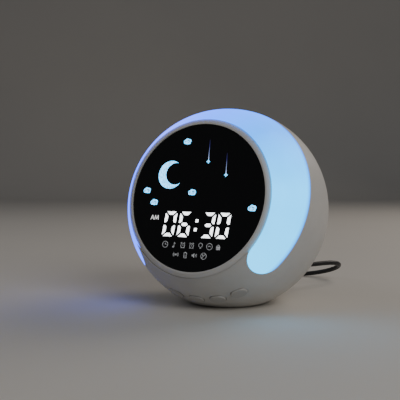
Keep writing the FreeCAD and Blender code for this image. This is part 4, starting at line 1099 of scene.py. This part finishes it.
@dataclass
class Works:
    """What is inside: boards, loudspeaker, power socket and battery."""

    def build(self) -> None:
        """Dress the works."""
        dress(LAMINATE, "main_board", "power_board")
        dress(CHIP, "board_components")
        dress(RIBBON, "display_ribbon")
        dress(FOAM, "speaker_gasket")
        dress(COATED, "speaker_basket")
        dress(PAPER, "speaker_cone")
        dress(FERRITE, "speaker_magnet")
        dress(STEEL, "power_socket")
        dress(WRAP, "battery_cell")
        dress(BLACK, "battery_cradle")


@dataclass
class PowerLead:
    """The lead: a low loop out of its plug, a put-away coil behind the clock and a tail to the far plug.

    Places are in millimetres. The lead is one smooth line, whose control points are those of the loop, the
    coil and the tail.
    """

    radius: float = 1.7
    length: float = 890.0
    loop: tuple[tuple[float, float, float], ...] = (
        (21.0, 61.8, 18.5), (21.0, 71.0, 18.5), (25.5, 81.5, 16.4), (32.0, 92.0, 16.8), (37.6, 103.0, 16.6),
        (38.8, 114.0, 14.2), (34.0, 124.0, 10.4), (25.0, 130.5, 6.6), (13.0, 133.0, 3.4), (2.0, 130.0, 1.9),
        (-7.0, 124.5, 1.75), (-15.2, 121.7, 1.75), (-22.6, 121.7, 1.75),
    )
    tail: tuple[tuple[float, float, float], ...] = (
        (-29.4, 121.7, 5.95), (-36.0, 121.7, 5.95), (-43.4, 120.3, 5.3), (-50.2, 117.0, 4.6),
        (-55.7, 111.7, 4.2), (-59.3, 105.0, 4.0), (-61.0, 98.0, 3.95), (-61.0, 91.5, 3.95),
    )
    coil_middle: Spot = (-26.0, 97.0)
    coil_turns: float = 2.75
    coil_outer: float = 24.7
    coil_pitch: float = 4.0
    coil_low: float = 1.75
    layer_rise: float = 4.2
    points_in_turn: int = 24

    def coil(self) -> Array:
        """Work out the coil.

        The radius falls evenly with the angle for the first layer. It turns round smoothly during the half
        turn in which the level climbs by one layer, and grows again at the same rate.

        Returns:
            Rows of x, y and z.
        """
        steady = self.coil_turns * 2 * math.pi
        slope = self.coil_pitch / (2 * math.pi)
        whole = 2 * steady + math.pi
        turn = np.linspace(0, whole, round(whole / (2 * math.pi) * self.points_in_turn) + 1)
        climb = np.clip(turn - steady, 0, math.pi)
        outward = np.clip(turn - steady - math.pi, 0, None)
        inward = np.minimum(turn, steady)
        first_layer = self.coil_outer - slope * inward
        radius = first_layer - slope * climb + slope * climb ** 2 / math.pi + slope * outward
        level = self.coil_low + self.layer_rise * (1 - np.cos(climb)) / 2
        angle = math.pi / 2 + turn
        x = self.coil_middle[0] + radius * np.cos(angle)
        y = self.coil_middle[1] + radius * np.sin(angle)
        return np.column_stack([x, y, level])

    def build(self) -> None:
        route = np.vstack([self.loop, self.coil()[1:-1], self.tail]) * MM
        curve = bpy.data.curves.new("power_lead", "CURVE")
        curve.dimensions = "3D"
        spline = curve.splines.new("NURBS")
        spline.points.add(len(route) - 1)
        spline.points.foreach_set("co", np.column_stack([route, np.ones(len(route))]).ravel())
        spline.order_u = 3
        spline.use_endpoint_u = True
        spline.resolution_u = 5
        curve.bevel_depth = self.radius * MM
        curve.bevel_resolution = 5
        curve.use_fill_caps = True
        curve.materials.append(CABLE.material())
        lead = linked("power_lead", curve)
        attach(lead, HOUSING)
        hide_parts("power_cord", "power_cord_coil", "power_cord_tail")
        dress(CABLE, "power_plug", "usb_plug")
        dress(CONTACT, "power_plug_tip", "usb_plug_tip")
        log.info("made power_lead with %d points", len(route))


# Studio.

@dataclass
class SoftBox:
    """A square lamp: where it stands, what it faces, its side in metres, its power and its colour."""

    name: str
    stand: tuple[float, float, float]
    side: float
    power: float
    colour: Colour = (1.0, 1.0, 1.0)
    aim: tuple[float, float, float] = (0.0, 0.0, 0.06)

    def build(self) -> None:
        """Hang the lamp."""
        data = bpy.data.lights.new(self.name, "AREA")
        data.size = self.side
        data.energy = self.power
        data.color = self.colour
        lamp = linked(self.name, data)
        lamp.location = self.stand
        lamp.rotation_euler = (Vector(self.aim) - Vector(self.stand)).to_track_quat("-Z", "Y").to_euler()


@dataclass
class Studio:
    """A pale floor that sweeps up behind the clock, soft lamps, and a camera at the photograph's angle."""

    azimuth: float = 29.3
    pitch: float = 2.0
    camera: tuple[float, float, float] = (0.20807, -0.40768, 0.08238)
    lens: float = 63.0
    sensor: float = 36.0
    nearest: float = 0.01
    farthest: float = 20.0
    floor_half: float = 2.4
    bend: float = 0.5
    bend_points: int = 24
    wall: float = 1.6
    floor_colour: Colour = (0.68, 0.65, 0.60)
    world_colour: Colour = (0.075, 0.078, 0.085)
    lamps: tuple[SoftBox, ...] = (
        SoftBox("key_lamp", (0.95, -0.55, 0.75), 0.7, 4.7, (1.0, 0.98, 0.95)),
        SoftBox("fill_lamp", (-1.1, -0.5, 0.9), 0.9, 1.9, (0.90, 0.93, 1.0)),
        SoftBox("back_lamp", (0.5, 1.0, 0.9), 0.8, 5.0, (1.0, 0.90, 0.80)),
    )

    def build_floor(self) -> None:
        """Make the sweep: a profile of floor, quarter circle and wall, carried across."""
        turn = np.linspace(0, math.pi / 2, self.bend_points)
        bend_y = self.floor_half - self.bend + self.bend * np.sin(turn)
        bend_z = self.bend - self.bend * np.cos(turn)
        profile_y = np.concatenate([[-self.floor_half], bend_y, [self.floor_half]])
        profile_z = np.concatenate([[0.0], bend_z, [self.wall]])
        across = np.array([-self.floor_half, self.floor_half])
        x = np.repeat(across, len(profile_y))
        y = np.tile(profile_y, 2)
        z = np.tile(profile_z, 2)
        lean = math.radians(self.azimuth)
        cosine, sine = math.cos(lean), math.sin(lean)
        spots = np.column_stack([x * cosine - y * sine, x * sine + y * cosine, z])
        quads = rows_of_quads(2, len(profile_y), False, False)[:, ::-1]
        paper = Finish("backdrop_paper", self.floor_colour, roughness=0.85, patch=300.0, patch_shade=0.98,
                       grain_size=1.2, grain_depth=0.02)
        smooth_piece("studio_sweep", spots, quads, paper)

    def build_camera(self) -> None:
        """Set the camera where the photograph was taken from."""
        data = bpy.data.cameras.new("camera")
        data.lens = self.lens
        data.sensor_width = self.sensor
        data.clip_start = self.nearest
        data.clip_end = self.farthest
        camera = linked("camera", data)
        camera.location = self.camera
        camera.rotation_euler = (math.radians(90 - self.pitch), 0.0, math.radians(self.azimuth))
        bpy.context.scene.camera = camera

    def build_world(self) -> None:
        """Give the room its dim even light."""
        world = bpy.data.worlds.new("room")
        world.use_nodes = True
        world.node_tree.nodes["Background"].inputs["Color"].default_value = (*self.world_colour, 1)
        bpy.context.scene.world = world

    def build(self) -> None:
        """Set up the studio."""
        self.build_floor()
        self.build_camera()
        self.build_world()
        for lamp in self.lamps:
            lamp.build()
        log.info("set up the studio")


def main() -> None:
    """Build the clock and its studio in order."""
    logging.basicConfig(level=logging.INFO, format="%(name)s: %(message)s")
    Studio().build()
    PowerLead().build()
    Housing().build()
    NightLight().build()
    Display().build()
    Keys().build()
    Works().build()


if __name__ == "__main__":
    main()
